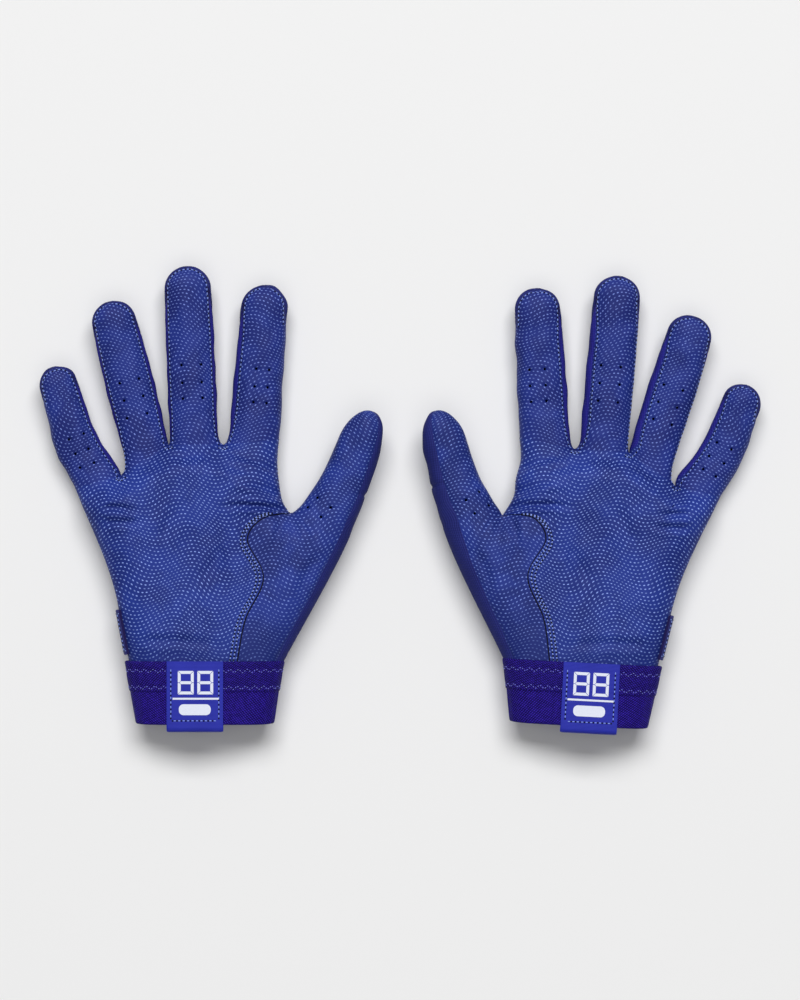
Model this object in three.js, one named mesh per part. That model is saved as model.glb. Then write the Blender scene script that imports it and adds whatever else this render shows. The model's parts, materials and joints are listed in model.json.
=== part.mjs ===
// A pair of batting gloves lying palm up, each filled out as it is on a hand.
//
// Millimetres and degrees. In a glove's own frame +X points to the thumb side,
// +Y to the fingertips and +Z out of the palm. The wrist line, where the cuff
// begins, is y = 0, and the table is z = 0. The left glove mirrors the right one.

import * as THREE from "three";

// Walls and clearances
const LEATHER = 1.0;
const STRETCH = 1.0;
const ELASTIC = 1.6;
const WEBBING = 1.2;
const STRAP_WALL = 1.5;
const NAP = 0.9;
const CLEARANCE = 0.3;

// Hand: the palm, and how its sides round over
const PALM_LENGTH = 107;
const PALM_LEVEL = 13.5;
const PALM_RISE = 12.5;
const REST_FLAT = 0.5;
const EDGE_ROUND = 16;
const WEB_SLOPE = 15;
const SECTION_POWER = 0.88;

// Wrist: the section that the cuff and the closure sit on
const WRIST_WIDTH = 73;
const WRIST_RISE = 10.5;
const WRIST_FLARE = 11;
const WRIST_EASE = 24;

// Cuff and pull tab
const CUFF_LENGTH = 30.4;
const CUFF_TAPER = 4.6;
const CUFF_LAP = 12;
const TAB_WIDTH = 27;
const TAB_OFFSET = -5.3;
const TAB_DROP = 3.4;
const TAB_LAP_CLEAR = 3;

// Closure strap on the back of the wrist
const STRAP_WIDTH = 22;
const STRAP_START = 3;
const STRAP_REACH = 62;
const STRAP_CORNER = 5;
const STRAP_RUN_IN = 4;
const STRAP_PULL = 0.33;
const STRAP_FOLD_ANGLE = 47;
const ANCHOR_FRONT_ANGLE = 42;
const PATCH_INSET = 2;
const PATCH_CORNER = 3;
const HOOK_LENGTH = 24;
const LOOP_LENGTH = 36;
const HOOK_END_INSET = 6;

// Fingers: widths across the palm plane, lengths from the web to the tip.
// A positive lean turns the finger away from the thumb.
const FINGER_SIZES = {
  index: { baseWidth: 24, tipWidth: 21, length: 73.5, thick: 18, tipThick: 16, lean: -4.6, lift: 3 },
  middle: { baseWidth: 23, tipWidth: 21.6, length: 82.5, thick: 18.5, tipThick: 16, lean: 2.4, lift: 3 },
  ring: { baseWidth: 22, tipWidth: 20.4, length: 70.5, thick: 18, tipThick: 15.5, lean: 14, lift: 4 },
  little: { baseWidth: 23, tipWidth: 17.6, length: 58, thick: 17, tipThick: 14, lean: 22, lift: 4 },
};
const THUMB_SIZE = {
  baseWidth: 28.5,
  tipWidth: 17,
  length: 59.5,
  thick: 21,
  tipThick: 15,
  lean: -23.5,
  lift: 6,
  taper: 2.1,
  swerve: 2,
  tipRound: 13,
};
const FINGER_TABLE_GAP = 0.4;
const KNUCKLE_RISE = 5;
const TIP_GAP = 1.2;

// Finger roots: the middle finger's place, the web between neighbours, and each root's drop
const MIDDLE_ROOT_X = -5.3;
const INDEX_WEB = 5.3;
const RING_WEB = 1.2;
const LITTLE_WEB = 0.3;
const RING_DROP = 3;
const LITTLE_DROP = 20;
const THUMB_ROOT = new THREE.Vector2(56.6, 65.2);

// How the left glove's fingers lie: drawn in towards the palm, and turned further out
const LEFT_LIE = {
  index: { drawIn: 2, turnOut: -1.6 },
  middle: { drawIn: 3.4, turnOut: -0.4 },
  ring: { drawIn: 4, turnOut: 0.6 },
  little: { drawIn: 4, turnOut: 1.5 },
  thumb: { drawIn: 3.6, turnOut: 1 },
};
const RIGHT_LIE = {};

// Seams: angles round a finger from its thumb side, and the wavy thumb seam on the palm
const FOURCHETTE_ANGLE = 36;
const WRAP_ANGLE = 25;
const FOURCHETTE_TAPER_START = 0.5;
const FOURCHETTE_TAPER_END = 0.86;
const THUMB_SEAM_ANGLE = 40;
const THUMB_INNER_ANGLE = 190;
const SEAM_WRIST_X = 14.7;
const SEAM_LOW = new THREE.Vector2(18.7, 20.4);
const SEAM_BELLY = new THREE.Vector2(27.3, 40);
const SEAM_NOTCH = new THREE.Vector2(19.6, 58);
const SEAM_TURN = new THREE.Vector2(27, 69);
const BACK_SEAM_WRIST_X = 20;
const WEB_ROW_RISE = 15;
const INDEX_DIP = 10;
const WEB_EDGE_SHARE = 0.6;
const WEB_EDGE_HOLLOW = 5;
const ULNAR_PULL = 0.33;
const THENAR_PULL = 0.52;

// The pair, as it lies
const PAIR_PITCH = 181.1;
const LEFT_DROP = 0.6;
const LEFT_TURN = -3;

// Fineness of the faceted surfaces
const STRIP_STEPS = 4;
const ROWS_TO_CROTCH = 8;
const ROWS_TO_WEB = 4;
const STUB_ROWS = 2;
const BODY_RINGS = 5;
const TIP_RINGS = 3;
const PLATE_STEPS = 6;
const FOURCHETTE_STEPS = 2;
const GUSSET_STEPS = 2;
const BAND_STEPS = 2;
const CUFF_STEPS = 3;
const SMALL_CORNER_STEPS = 3;
const CORNER_STEPS = 6;
const CURVE_STEPS = 24;

// Levels that follow from the closure's stack under the wrist
const WRIST_BACK_Z = STRAP_WALL + 2 * NAP + 3 * CLEARANCE;
const WRIST_LEVEL = WRIST_BACK_Z + WRIST_RISE;
const FLARE = THREE.MathUtils.degToRad(WRIST_FLARE);
const WRIST_END = STRAP_START + STRAP_WIDTH + STRAP_REACH * Math.sin(FLARE) + CLEARANCE;

const radians = THREE.MathUtils.degToRad;
const lerp = THREE.MathUtils.lerp;
const smooth = THREE.MathUtils.smoothstep;

// The pieces' finishes
const FINISHES = {
  leather: { color: 0x3a4991, roughness: 0.55, metalness: 0 },
  fingerLeather: { color: 0x343e83, roughness: 0.55, metalness: 0 },
  stretch: { color: 0x2d2a80, roughness: 0.7, metalness: 0 },
  elastic: { color: 0x271a72, roughness: 0.75, metalness: 0 },
  webbing: { color: 0x333aa7, roughness: 0.5, metalness: 0 },
  strap: { color: 0x2a2f86, roughness: 0.6, metalness: 0 },
  hook: { color: 0x16151f, roughness: 0.8, metalness: 0 },
  loop: { color: 0x1d1b45, roughness: 0.95, metalness: 0 },
};

// Surfaces

function power(value) {
  return Math.sign(value) * Math.abs(value) ** SECTION_POWER;
}

function range(count) {
  return Array.from({ length: count + 1 }, (_, i) => i / count);
}

// A closed body from triangles that share their corners; corners that no triangle uses are left out.
function bodyGeometry(points, triangles) {
  const used = [...new Set(triangles)];
  const renumbered = new Map(used.map((i, place) => [i, place]));
  const geometry = new THREE.BufferGeometry();
  const flat = used.flatMap((i) => points[i].toArray());
  geometry.setAttribute("position", new THREE.Float32BufferAttribute(flat, 3));
  geometry.setIndex(triangles.map((i) => renumbered.get(i)));
  geometry.computeVertexNormals();
  return geometry;
}

// A sheet of quads that can be joined along shared points and given a wall.
// Each quad belongs to a named piece, so that one smooth sheet can be cut into several.
class Sheet {
  constructor() {
    this.points = [];
    this.quads = [];
    this.lookup = new Map();
    this.level = new Set();
    this.wallWays = new Map();
  }

  index(p) {
    const key = [p.x, p.y, p.z].map((v) => Math.round(v * 1e4)).join(",");
    if (!this.lookup.has(key)) {
      this.lookup.set(key, this.points.length);
      this.points.push(p.clone());
    }
    return this.lookup.get(key);
  }

  // Rows run one way, their points the other; flip turns the sheet's outside over.
  addRows(rows, flip, pieceAt) {
    const ids = rows.map((row) => row.map((p) => this.index(p)));
    for (let i = 0; i + 1 < ids.length; i += 1) {
      for (let j = 0; j + 1 < ids[i].length; j += 1) {
        const corners = [ids[i][j], ids[i][j + 1], ids[i + 1][j + 1], ids[i + 1][j]];
        this.quads.push({ corners: flip ? corners.reverse() : corners, piece: pieceAt(j) });
      }
    }
  }

  // Points whose wall is kept level, where a palm-side and a back piece meet edge to edge.
  keepLevel(points) {
    points.forEach((p) => this.level.add(this.index(p)));
  }

  // Points whose wall goes a given way, so that two pieces at a seam stay side by side.
  setWallWay(points, way) {
    points.forEach((p) => this.wallWays.set(this.index(p), way));
  }

  wallDirections() {
    const sums = this.points.map(() => new THREE.Vector3());
    for (const { corners: [a, b, c, d] } of this.quads) {
      const across = this.points[c].clone().sub(this.points[a]);
      const along = this.points[d].clone().sub(this.points[b]);
      const normal = across.cross(along);
      [a, b, c, d].forEach((i) => sums[i].add(normal));
    }
    this.level.forEach((i) => sums[i].setZ(0));
    this.wallWays.forEach((way, i) => sums[i].copy(way));
    return sums.map((sum) => sum.normalize());
  }

  // The sheet's points are the outside; the wall of the named piece goes inwards.
  thicken(piece, wall) {
    const count = this.points.length;
    const inner = this.wallDirections().map((n, i) => this.points[i].clone().addScaledVector(n, -wall));
    const triangles = [];
    const rims = new Map();
    for (const { corners: [a, b, c, d] } of this.quads.filter((quad) => quad.piece === piece)) {
      triangles.push(a, b, c, a, c, d);
      triangles.push(a + count, c + count, b + count, a + count, d + count, c + count);
      [[a, b], [b, c], [c, d], [d, a]].forEach(([from, to]) => {
        const back = `${to},${from}`;
        if (rims.has(back)) rims.delete(back);
        else rims.set(`${from},${to}`, [from, to]);
      });
    }
    for (const [from, to] of rims.values()) {
      triangles.push(from, from + count, to + count, from, to + count, to);
    }
    return bodyGeometry([...this.points, ...inner], triangles);
  }
}

// A closed plate between an outer and an inner grid of the same size.
function plateGeometry(outer, inner) {
  const rows = outer.length;
  const columns = outer[0].length;
  const count = rows * columns;
  const triangles = [];
  const quad = (a, b, c, d) => triangles.push(a, b, c, a, c, d);
  const at = (i, j) => i * columns + j;
  for (let i = 0; i + 1 < rows; i += 1) {
    for (let j = 0; j + 1 < columns; j += 1) {
      quad(at(i, j), at(i, j + 1), at(i + 1, j + 1), at(i + 1, j));
      quad(at(i, j) + count, at(i + 1, j) + count, at(i + 1, j + 1) + count, at(i, j + 1) + count);
    }
    const last = columns - 1;
    quad(at(i, 0) + count, at(i, 0), at(i + 1, 0), at(i + 1, 0) + count);
    quad(at(i, last), at(i, last) + count, at(i + 1, last) + count, at(i + 1, last));
  }
  for (let j = 0; j + 1 < columns; j += 1) {
    const last = rows - 1;
    quad(at(0, j) + count, at(0, j + 1) + count, at(0, j + 1), at(0, j));
    quad(at(last, j), at(last, j + 1), at(last, j + 1) + count, at(last, j) + count);
  }
  return bodyGeometry([...outer.flat(), ...inner.flat()], triangles);
}

// Fingers

class Finger {
  constructor(sizes, root, tableGap, { drawIn = 0, turnOut = 0 } = {}) {
    Object.assign(this, { taper: 1, swerve: 0, tipRound: sizes.tipWidth / 2 }, sizes);
    this.root = root;
    this.length -= drawIn;
    this.turn = radians(sizes.lean + turnOut);
    this.along = new THREE.Vector2(-Math.sin(this.turn), Math.cos(this.turn));
    this.across = new THREE.Vector2(Math.cos(this.turn), Math.sin(this.turn));
    this.level = tableGap + sizes.thick / 2;
    this.bodyLength = this.length - this.tipRound;
  }

  // The end of the root line on one side: -1 away from the thumb, 1 towards it.
  rootEdge(side) {
    return this.root.clone().addScaledVector(this.across, (side * this.baseWidth) / 2);
  }

  // A ring on the straight run, drawn in by an inset.
  ring(s, inset) {
    const t = Math.max(s, 0) / this.length;
    return {
      y: s,
      x: this.swerve * t ** 3,
      w: lerp(this.tipWidth, this.baseWidth, (1 - t) ** this.taper) / 2 - inset,
      h: lerp(this.thick, this.tipThick, t) / 2 - inset,
      z: this.lift * t ** 2,
    };
  }

  // A ring on the rounded tip; turn runs from 0 at its start to a quarter turn.
  tipRing(turn, inset) {
    const start = this.ring(this.bodyLength, inset);
    const s = this.bodyLength + (this.tipRound - inset) * Math.sin(turn);
    const t = s / this.length;
    return {
      y: s,
      x: this.swerve * t ** 3,
      w: start.w * Math.cos(turn),
      h: start.h * Math.cos(turn),
      z: this.lift * t ** 2,
    };
  }

  // The rings of a plate, from just past the knuckle line to the tip.
  rings(inset) {
    const first = KNUCKLE_RISE + CLEARANCE / 2;
    const body = range(BODY_RINGS).map((t) => this.ring(lerp(first, this.bodyLength, t), inset));
    const end = Math.acos(TIP_GAP / this.ring(this.bodyLength, 0).w);
    const tip = range(TIP_RINGS).slice(1).map((t) => this.tipRing(t * end, inset));
    return [...body, ...tip];
  }

  ringPoint(ring, angle) {
    const x = ring.x + ring.w * power(Math.cos(angle));
    return new THREE.Vector3(x, ring.y, ring.z + ring.h * power(Math.sin(angle)));
  }

  // A point in the finger's frame put into the glove's frame.
  toGlove(p) {
    const flat = this.root.clone().addScaledVector(this.across, p.x).addScaledVector(this.along, p.y);
    return new THREE.Vector3(flat.x, flat.y, this.level + p.z);
  }

  // How far the side walls reach from the equator, closing towards the tip.
  sideAngle(s) {
    const t = s / this.length;
    return radians(FOURCHETTE_ANGLE) * (1 - smooth(t, FOURCHETTE_TAPER_START, FOURCHETTE_TAPER_END));
  }

  // A plate round part of the finger; limits gives its two angles at a ring.
  plate(limits, steps, wall, keep = () => true) {
    const outerRings = this.rings(0).filter(keep);
    const innerRings = this.rings(wall).slice(0, outerRings.length);
    const grid = (rings) => rings.map((ring, i) => {
      const [from, to] = limits(outerRings[i].y);
      const gap = CLEARANCE / 2 / outerRings[i].w;
      return range(steps).map((t) => this.ringPoint(ring, lerp(to - gap, from + gap, t)));
    });
    return plateGeometry(grid(outerRings), grid(innerRings));
  }

  // The knuckle line lies on the crest of the palm side, where the leather folds.
  knuckle() {
    const ring = this.ring(KNUCKLE_RISE, 0);
    return new THREE.Vector3(ring.x, ring.y, ring.z + ring.h);
  }
}

function makeFingers(lie) {
  const sizes = FINGER_SIZES;
  const step = (a, b, web) => (a.baseWidth + b.baseWidth) / 2 + web;
  const indexX = MIDDLE_ROOT_X + step(sizes.middle, sizes.index, INDEX_WEB);
  const ringX = MIDDLE_ROOT_X - step(sizes.middle, sizes.ring, RING_WEB);
  const littleX = ringX - step(sizes.ring, sizes.little, LITTLE_WEB);
  const place = (name, x, drop) =>
    new Finger(sizes[name], new THREE.Vector2(x, PALM_LENGTH - drop), FINGER_TABLE_GAP, lie[name]);
  return {
    little: place("little", littleX, LITTLE_DROP),
    ring: place("ring", ringX, RING_DROP),
    middle: place("middle", MIDDLE_ROOT_X, 0),
    index: place("index", indexX, 0),
    thumb: new Finger(THUMB_SIZE, THUMB_ROOT, PALM_LEVEL - THUMB_SIZE.thick / 2, lie.thumb),
  };
}

// The four fingers of the hand, from the far side to the thumb side
const HAND_FINGERS = ["little", "ring", "middle", "index"];

// A direction in the plan as a direction in space.
function levelWay(flat) {
  return new THREE.Vector3(flat.x, flat.y, 0);
}

// The palm's lines

// The web between two neighbours: midway across, and as low as the lower root.
function crotch(a, b) {
  const left = a.rootEdge(1);
  const right = b.rootEdge(-1);
  return new THREE.Vector2((left.x + right.x) / 2, Math.min(left.y, right.y));
}

function palmLines(fingers) {
  const { little, ring, middle, index, thumb } = fingers;
  const half = WRIST_WIDTH / 2;
  const wrist = (x) => new THREE.Vector2(x, 0);
  const thumbCrotch = thumb.rootEdge(-1);

  // The little-finger edge: straight beside the closure, then out to the little finger.
  const ulnarEnd = little.rootEdge(-1);
  const flare = new THREE.Vector2(-Math.sin(FLARE), Math.cos(FLARE));
  const ulnarKnee = wrist(-half).addScaledVector(flare, STRAP_START + STRAP_WIDTH + STRAP_START);
  const ulnarPull = ulnarKnee.distanceTo(ulnarEnd) * ULNAR_PULL;
  const ulnarCurve = new THREE.CubicBezierCurve(
    ulnarKnee,
    ulnarKnee.clone().addScaledVector(flare, ulnarPull),
    ulnarEnd.clone().addScaledVector(little.along, -ulnarPull),
    ulnarEnd,
  );
  const kneeShare = ulnarKnee.y / ulnarEnd.y;
  const ulnar = (share) => (share < kneeShare
    ? wrist(-half).lerp(ulnarKnee, share / kneeShare)
    : ulnarCurve.getPoint((share - kneeShare) / (1 - kneeShare)));

  // The thumb-side edge above the thumb's web dips before it meets the index finger.
  const indexEdge = index.rootEdge(1);
  const dip = indexEdge.clone().addScaledVector(index.along, -INDEX_DIP);
  const flareIn = dip.clone().lerp(thumbCrotch, WEB_EDGE_SHARE).add(new THREE.Vector2(-WEB_EDGE_HOLLOW, 0));
  const radial = [thumbCrotch, flareIn, dip, indexEdge];
  const seamPoints = [wrist(SEAM_WRIST_X), SEAM_LOW, SEAM_BELLY, SEAM_NOTCH, SEAM_TURN, ...radial];
  const seam = new THREE.SplineCurve(seamPoints);
  const webPlace = seamPoints.indexOf(thumbCrotch);
  const crotchShare = webPlace / (seamPoints.length - 1);

  // On the back the thumb panel's seam runs straight from the wrist to the web.
  const backRun = range(webPlace).slice(0, -1).map((t) => wrist(BACK_SEAM_WRIST_X).lerp(thumbCrotch, t));
  const backSeam = new THREE.SplineCurve([...backRun, ...radial]);

  // The thumb's outer edge runs from the wrist to the thumb's root.
  const thenarEnd = thumb.rootEdge(1);
  const thenarPull = half * THENAR_PULL;
  const thenarStart = wrist(half);
  const outward = thenarEnd.clone().sub(thenarStart).normalize();
  const thenarCurve = new THREE.CubicBezierCurve(
    thenarStart,
    thenarStart.clone().addScaledVector(outward, thenarPull),
    thenarEnd.clone().addScaledVector(thumb.along, -thenarPull),
    thenarEnd,
  );

  // Rows across the palm: one of them ends at the thumb's web, and meets the finger lines above it.
  const webs = [crotch(little, ring), crotch(ring, middle), crotch(middle, index)];
  const webRowShare = (thumbCrotch.y + WEB_ROW_RISE) / webs[2].y;
  const rowShare = (t) => (t < crotchShare
    ? (t / crotchShare) * webRowShare
    : lerp(webRowShare, 1, (t - crotchShare) / (1 - crotchShare)));
  const rays = webs.map((web, i) => {
    const start = wrist(lerp(-half, SEAM_WRIST_X, (i + 1) / (webs.length + 1)));
    return (t) => start.clone().lerp(web, rowShare(t));
  });
  return {
    front: [(t) => ulnar(rowShare(t)), ...rays, (t) => seam.getPoint(t)],
    back: [(t) => ulnar(rowShare(t)), ...rays, (t) => backSeam.getPoint(t)],
    seam,
    backSeam,
    thenar: (t) => thenarCurve.getPoint(t),
    thenarLength: thenarCurve.getLength(),
    crotchShare,
    rowShare,
  };
}

// Sets of points that the hand's outline is measured from.
function outlineSegments(lines) {
  const trace = (curve, from, to) => range(CURVE_STEPS).map((t) => curve(lerp(from, to, t)));
  const traces = [
    trace(lines.front[0], 0, 1),
    trace(lines.front[4], lines.crotchShare, 1),
    trace(lines.thenar, 0, 1),
  ];
  return traces.flatMap((points) => points.slice(1).map((p, i) => [points[i], p]));
}

function outlineDistance(segments, p) {
  let least = Infinity;
  for (const [a, b] of segments) {
    const run = b.clone().sub(a);
    const t = THREE.MathUtils.clamp(p.clone().sub(a).dot(run) / run.lengthSq(), 0, 1);
    least = Math.min(least, p.distanceTo(a.clone().addScaledVector(run, t)));
  }
  return least;
}

// 0 on the outline, 1 where the hand is flat.
function edgeProfile(distance) {
  const t = Math.min(distance / EDGE_ROUND, 1);
  return Math.sqrt(1 - (1 - t) ** 2);
}

// The hand's surface

class Hand {
  constructor(lie) {
    this.fingers = makeFingers(lie);
    this.lines = palmLines(this.fingers);
    this.segments = outlineSegments(this.lines);
    const { crotchShare } = this.lines;
    this.rows = [
      ...range(ROWS_TO_CROTCH).map((t) => t * crotchShare),
      ...range(ROWS_TO_WEB).slice(1).map((t) => lerp(crotchShare, 1, t)),
    ];
  }

  // Height of the hand's surface over a point of its plan; side is 1 for the palm, -1 for the back.
  height(p, side) {
    const ease = smooth(p.y, WRIST_END, WRIST_END + WRIST_EASE);
    const level = lerp(WRIST_LEVEL, PALM_LEVEL, ease);
    const reach = lerp(WRIST_RISE, side > 0 ? PALM_RISE : PALM_LEVEL + REST_FLAT, ease);
    const rise = Math.max(reach * edgeProfile(outlineDistance(this.segments, p)), CLEARANCE / 2);
    return Math.max(level + side * rise, 0);
  }

  // A point between two lines of the plan; settle, from 0 to 1, takes it onto the finger's section.
  stripPoint(from, to, finger, turn, side, settle) {
    const p = from.clone().lerp(to, (1 + power(Math.sin(turn))) / 2);
    const rise = Math.max((finger.thick / 2) * Math.abs(power(Math.cos(turn))), CLEARANCE / 2);
    const root = this.rootLevel(finger, turn) + side * rise;
    return new THREE.Vector3(p.x, p.y, lerp(this.height(p, side), root, settle));
  }

  // The level of a finger's root, which at a web is midway to its neighbour's.
  rootLevel(finger, turn) {
    const order = HAND_FINGERS.map((name) => this.fingers[name]);
    const place = order.indexOf(finger);
    const neighbour = place < 0 ? finger : order[place + Math.sign(turn)] ?? finger;
    return lerp(finger.level, neighbour.level, Math.sin(turn) ** 2 / 2);
  }

  // The lap tucked into the cuff: the wrist's own section, drawn in as the cuff tapers.
  lapRow(row) {
    const scale = cuffScale(-CUFF_LAP);
    return row.map((p) => new THREE.Vector3(p.x * scale, -CUFF_LAP, p.z));
  }

  // The rows from a finger's root line to its knuckle line.
  stubRows(rootRow, finger, turns, side) {
    const ring = finger.ring(KNUCKLE_RISE - CLEARANCE / 2, 0);
    const end = turns.map((turn) => {
      const rise = Math.max(ring.h * Math.abs(power(Math.cos(turn))), CLEARANCE / 2);
      const x = ring.x + ring.w * power(Math.sin(turn));
      return finger.toGlove(new THREE.Vector3(x, ring.y, ring.z + side * rise));
    });
    return range(STUB_ROWS).map((t) => rootRow.map((p, i) => p.clone().lerp(end[i], t)));
  }

  // The way a wall goes at the thumb's web: along the seam's last step, the same for both pieces there.
  webWallWay(curve) {
    const web = curve.getPoint(this.lines.crotchShare);
    const step = web.sub(curve.getPoint(this.lines.crotchShare * (1 - 1 / ROWS_TO_CROTCH)));
    return levelWay(step);
  }

  // The four-finger sheet of one side: the palm's strips and a stub for each finger.
  handSheet(side) {
    const lines = side > 0 ? this.lines.front : this.lines.back;
    const seam = side > 0 ? this.lines.seam : this.lines.backSeam;
    const sheet = new Sheet();
    const turns = range(STRIP_STEPS).map((t) => lerp(-Math.PI / 2, Math.PI / 2, t));
    HAND_FINGERS.forEach((name, k) => {
      const finger = this.fingers[name];
      const next = this.fingers[HAND_FINGERS[k + 1]];
      const strip = this.rows.map((t) => {
        const settle = smooth(this.lines.rowShare(t), 1 - WEB_SLOPE / PALM_LENGTH, 1);
        return turns.map((turn) => this.stripPoint(lines[k](t), lines[k + 1](t), finger, turn, side, settle));
      });
      const lap = this.lapRow(strip[0]);
      const stub = this.stubRows(strip[strip.length - 1], finger, turns, side);
      sheet.addRows([lap, ...strip, ...stub.slice(1)], side < 0, () => "hand");
      sheet.keepLevel(stub.flatMap((row) => [row[0], row[STRIP_STEPS]]));
      if (name === "little") sheet.keepLevel([lap, ...strip].map((row) => row[0]));
      if (next) sheet.setWallWay([stub[0][STRIP_STEPS]], levelWay(finger.along.clone().add(next.along)));
      if (name === "index") {
        const edge = strip.map((row) => row[STRIP_STEPS]);
        const upright = [lap[STRIP_STEPS], ...edge.slice(0, ROWS_TO_CROTCH)];
        sheet.keepLevel(edge.slice(ROWS_TO_CROTCH));
        sheet.setWallWay(upright, new THREE.Vector3(0, 0, side));
        sheet.setWallWay([edge[ROWS_TO_CROTCH]], this.webWallWay(seam));
      }
    });
    return sheet;
  }

  // The seam's line moved aside by the clearance, towards the thumb.
  besideSeam(curve) {
    return (t) => {
      const share = t * this.lines.crotchShare;
      const tangent = curve.getTangent(share);
      return curve.getPoint(share).add(new THREE.Vector2(tangent.y, -tangent.x).multiplyScalar(CLEARANCE));
    };
  }

  // The thumb's sheet goes from the palm seam over the outer edge to the back seam.
  // The thenar leather is its first part; the stretch gusset is the rest, a clearance away.
  thumbSheet() {
    const { thumb } = this.fingers;
    const quarter = Math.PI / 2;
    const seamTurn = quarter - radians(THUMB_SEAM_ANGLE);
    const gap = (2 * CLEARANCE) / thumb.tipWidth;
    const over = range(STRIP_STEPS + 1).map((t) => ({ turn: lerp(-quarter, seamTurn - gap, t), side: 1 }));
    const edge = range(GUSSET_STEPS).map((t) => ({ turn: lerp(seamTurn + gap, quarter, t), side: 1 }));
    const under = range(STRIP_STEPS + 1).map((t) => ({ turn: lerp(quarter, -quarter, t), side: -1 }));
    const columns = [...over, ...edge, ...under.slice(1)];
    const lefts = { 1: this.besideSeam(this.lines.seam), [-1]: this.besideSeam(this.lines.backSeam) };
    const strip = range(ROWS_TO_CROTCH).map((t) => {
      const settle = smooth(t, 1 - WEB_SLOPE / this.lines.thenarLength, 1);
      return columns.map(({ turn, side }) =>
        this.stripPoint(lefts[side](t), this.lines.thenar(t), thumb, turn, side, settle));
    });
    const lap = this.lapRow(strip[0]);
    const root = strip[strip.length - 1];
    const endOf = ({ turn, side }, i) => this.stubRows([root[i]], thumb, [turn], side)[STUB_ROWS][0];
    const ends = columns.map(endOf);
    const stub = range(STUB_ROWS).slice(1).map((t) => root.map((p, i) => p.clone().lerp(ends[i], t)));

    const sheet = new Sheet();
    const split = over.length - 1;
    const pieceAt = (j) => {
      if (j === split) return "gap";
      return j < split ? "thenar" : "gusset";
    };
    sheet.addRows([lap, ...strip, ...stub], false, pieceAt);
    const last = columns.length - 1;
    [[0, 1], [last, -1]].forEach(([column, side]) => {
      const upright = [lap, ...strip.slice(0, -1)].map((row) => row[column]);
      sheet.setWallWay(upright, new THREE.Vector3(0, 0, side));
      sheet.keepLevel(stub.map((row) => row[column]));
      sheet.setWallWay([root[column]], levelWay(thumb.across.clone().negate()));
    });
    return sheet;
  }
}

// Cuff, tab and closure

// The cuff narrows away from the hand.
function cuffScale(y) {
  return 1 + (CUFF_TAPER / (WRIST_WIDTH / 2)) * (y / CUFF_LENGTH);
}

// The wrist's section grown by an offset, as a closed loop of x and z.
function wristLoop(offset) {
  const flat = WRIST_WIDTH / 2 - EDGE_ROUND;
  const corner = (xSign, zSign) => range(CORNER_STEPS).map((t) => {
    const turn = (xSign === zSign ? t : 1 - t) * (Math.PI / 2);
    const x = xSign * (flat + (EDGE_ROUND + offset) * Math.cos(turn));
    return new THREE.Vector2(x, WRIST_LEVEL + zSign * (WRIST_RISE + offset) * Math.sin(turn));
  });
  return [...corner(1, 1), ...corner(-1, 1), ...corner(-1, -1).slice(1), ...corner(1, -1).slice(0, -1)];
}

function cuffGeometry() {
  const rows = range(CUFF_STEPS).map((t) => lerp(-CUFF_LENGTH, 0, t));
  const sleeve = (offset) => rows.map((y) =>
    wristLoop(offset).map((p) => new THREE.Vector3(p.x * cuffScale(y), y, p.y)));
  return ringGeometry(sleeve(CLEARANCE + ELASTIC), sleeve(CLEARANCE));
}

// A closed sleeve between an outer and an inner set of loops.
function ringGeometry(outer, inner) {
  const rows = outer.length;
  const columns = outer[0].length;
  const count = rows * columns;
  const triangles = [];
  const quad = (a, b, c, d) => triangles.push(a, b, c, a, c, d);
  const at = (i, j) => i * columns + (j % columns);
  for (let j = 0; j < columns; j += 1) {
    for (let i = 0; i + 1 < rows; i += 1) {
      quad(at(i, j), at(i + 1, j), at(i + 1, j + 1), at(i, j + 1));
      quad(at(i, j) + count, at(i, j + 1) + count, at(i + 1, j + 1) + count, at(i + 1, j) + count);
    }
    const last = rows - 1;
    quad(at(0, j) + count, at(0, j), at(0, j + 1), at(0, j + 1) + count);
    quad(at(last, j), at(last, j) + count, at(last, j + 1) + count, at(last, j + 1));
  }
  return bodyGeometry([...outer.flat(), ...inner.flat()], triangles);
}

// The pull tab is folded round the cuff's lower edge: drawn from the side, then given its width.
function tabGeometry() {
  const inside = WRIST_LEVEL + WRIST_RISE;
  const outside = inside + 2 * CLEARANCE + ELASTIC;
  const bend = (outside - inside) / 2;
  const middle = (inside + outside) / 2;
  const foldY = -CUFF_LENGTH - TAB_DROP + bend + WEBBING;
  const innerEnd = -CUFF_LAP - TAB_LAP_CLEAR;
  const shape = new THREE.Shape();
  shape.moveTo(0, outside);
  shape.lineTo(0, outside + WEBBING);
  shape.lineTo(foldY, outside + WEBBING);
  shape.absarc(foldY, middle, bend + WEBBING, Math.PI / 2, -Math.PI / 2, false);
  shape.lineTo(innerEnd, inside - WEBBING);
  shape.lineTo(innerEnd, inside);
  shape.lineTo(foldY, inside);
  shape.absarc(foldY, middle, bend, -Math.PI / 2, Math.PI / 2, true);
  shape.closePath();
  const geometry = new THREE.ExtrudeGeometry(shape, {
    depth: TAB_WIDTH,
    bevelEnabled: false,
    curveSegments: CORNER_STEPS,
  });
  const sideways = new THREE.Matrix4().makeBasis(
    new THREE.Vector3(0, 1, 0),
    new THREE.Vector3(0, 0, 1),
    new THREE.Vector3(1, 0, 0),
  );
  geometry.applyMatrix4(sideways);
  geometry.translate(TAB_OFFSET - TAB_WIDTH / 2, 0, 0);
  return geometry;
}

// A point on the wrist's rounded little-finger side, x measured inwards from the edge.
// The angle is 0 at the equator, positive towards the back, negative towards the palm.
function sidePoint(angle, offset) {
  const x = EDGE_ROUND - (EDGE_ROUND + offset) * Math.cos(angle);
  const z = WRIST_LEVEL - (WRIST_RISE + offset) * Math.sin(angle);
  return new THREE.Vector2(x, z);
}

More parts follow.
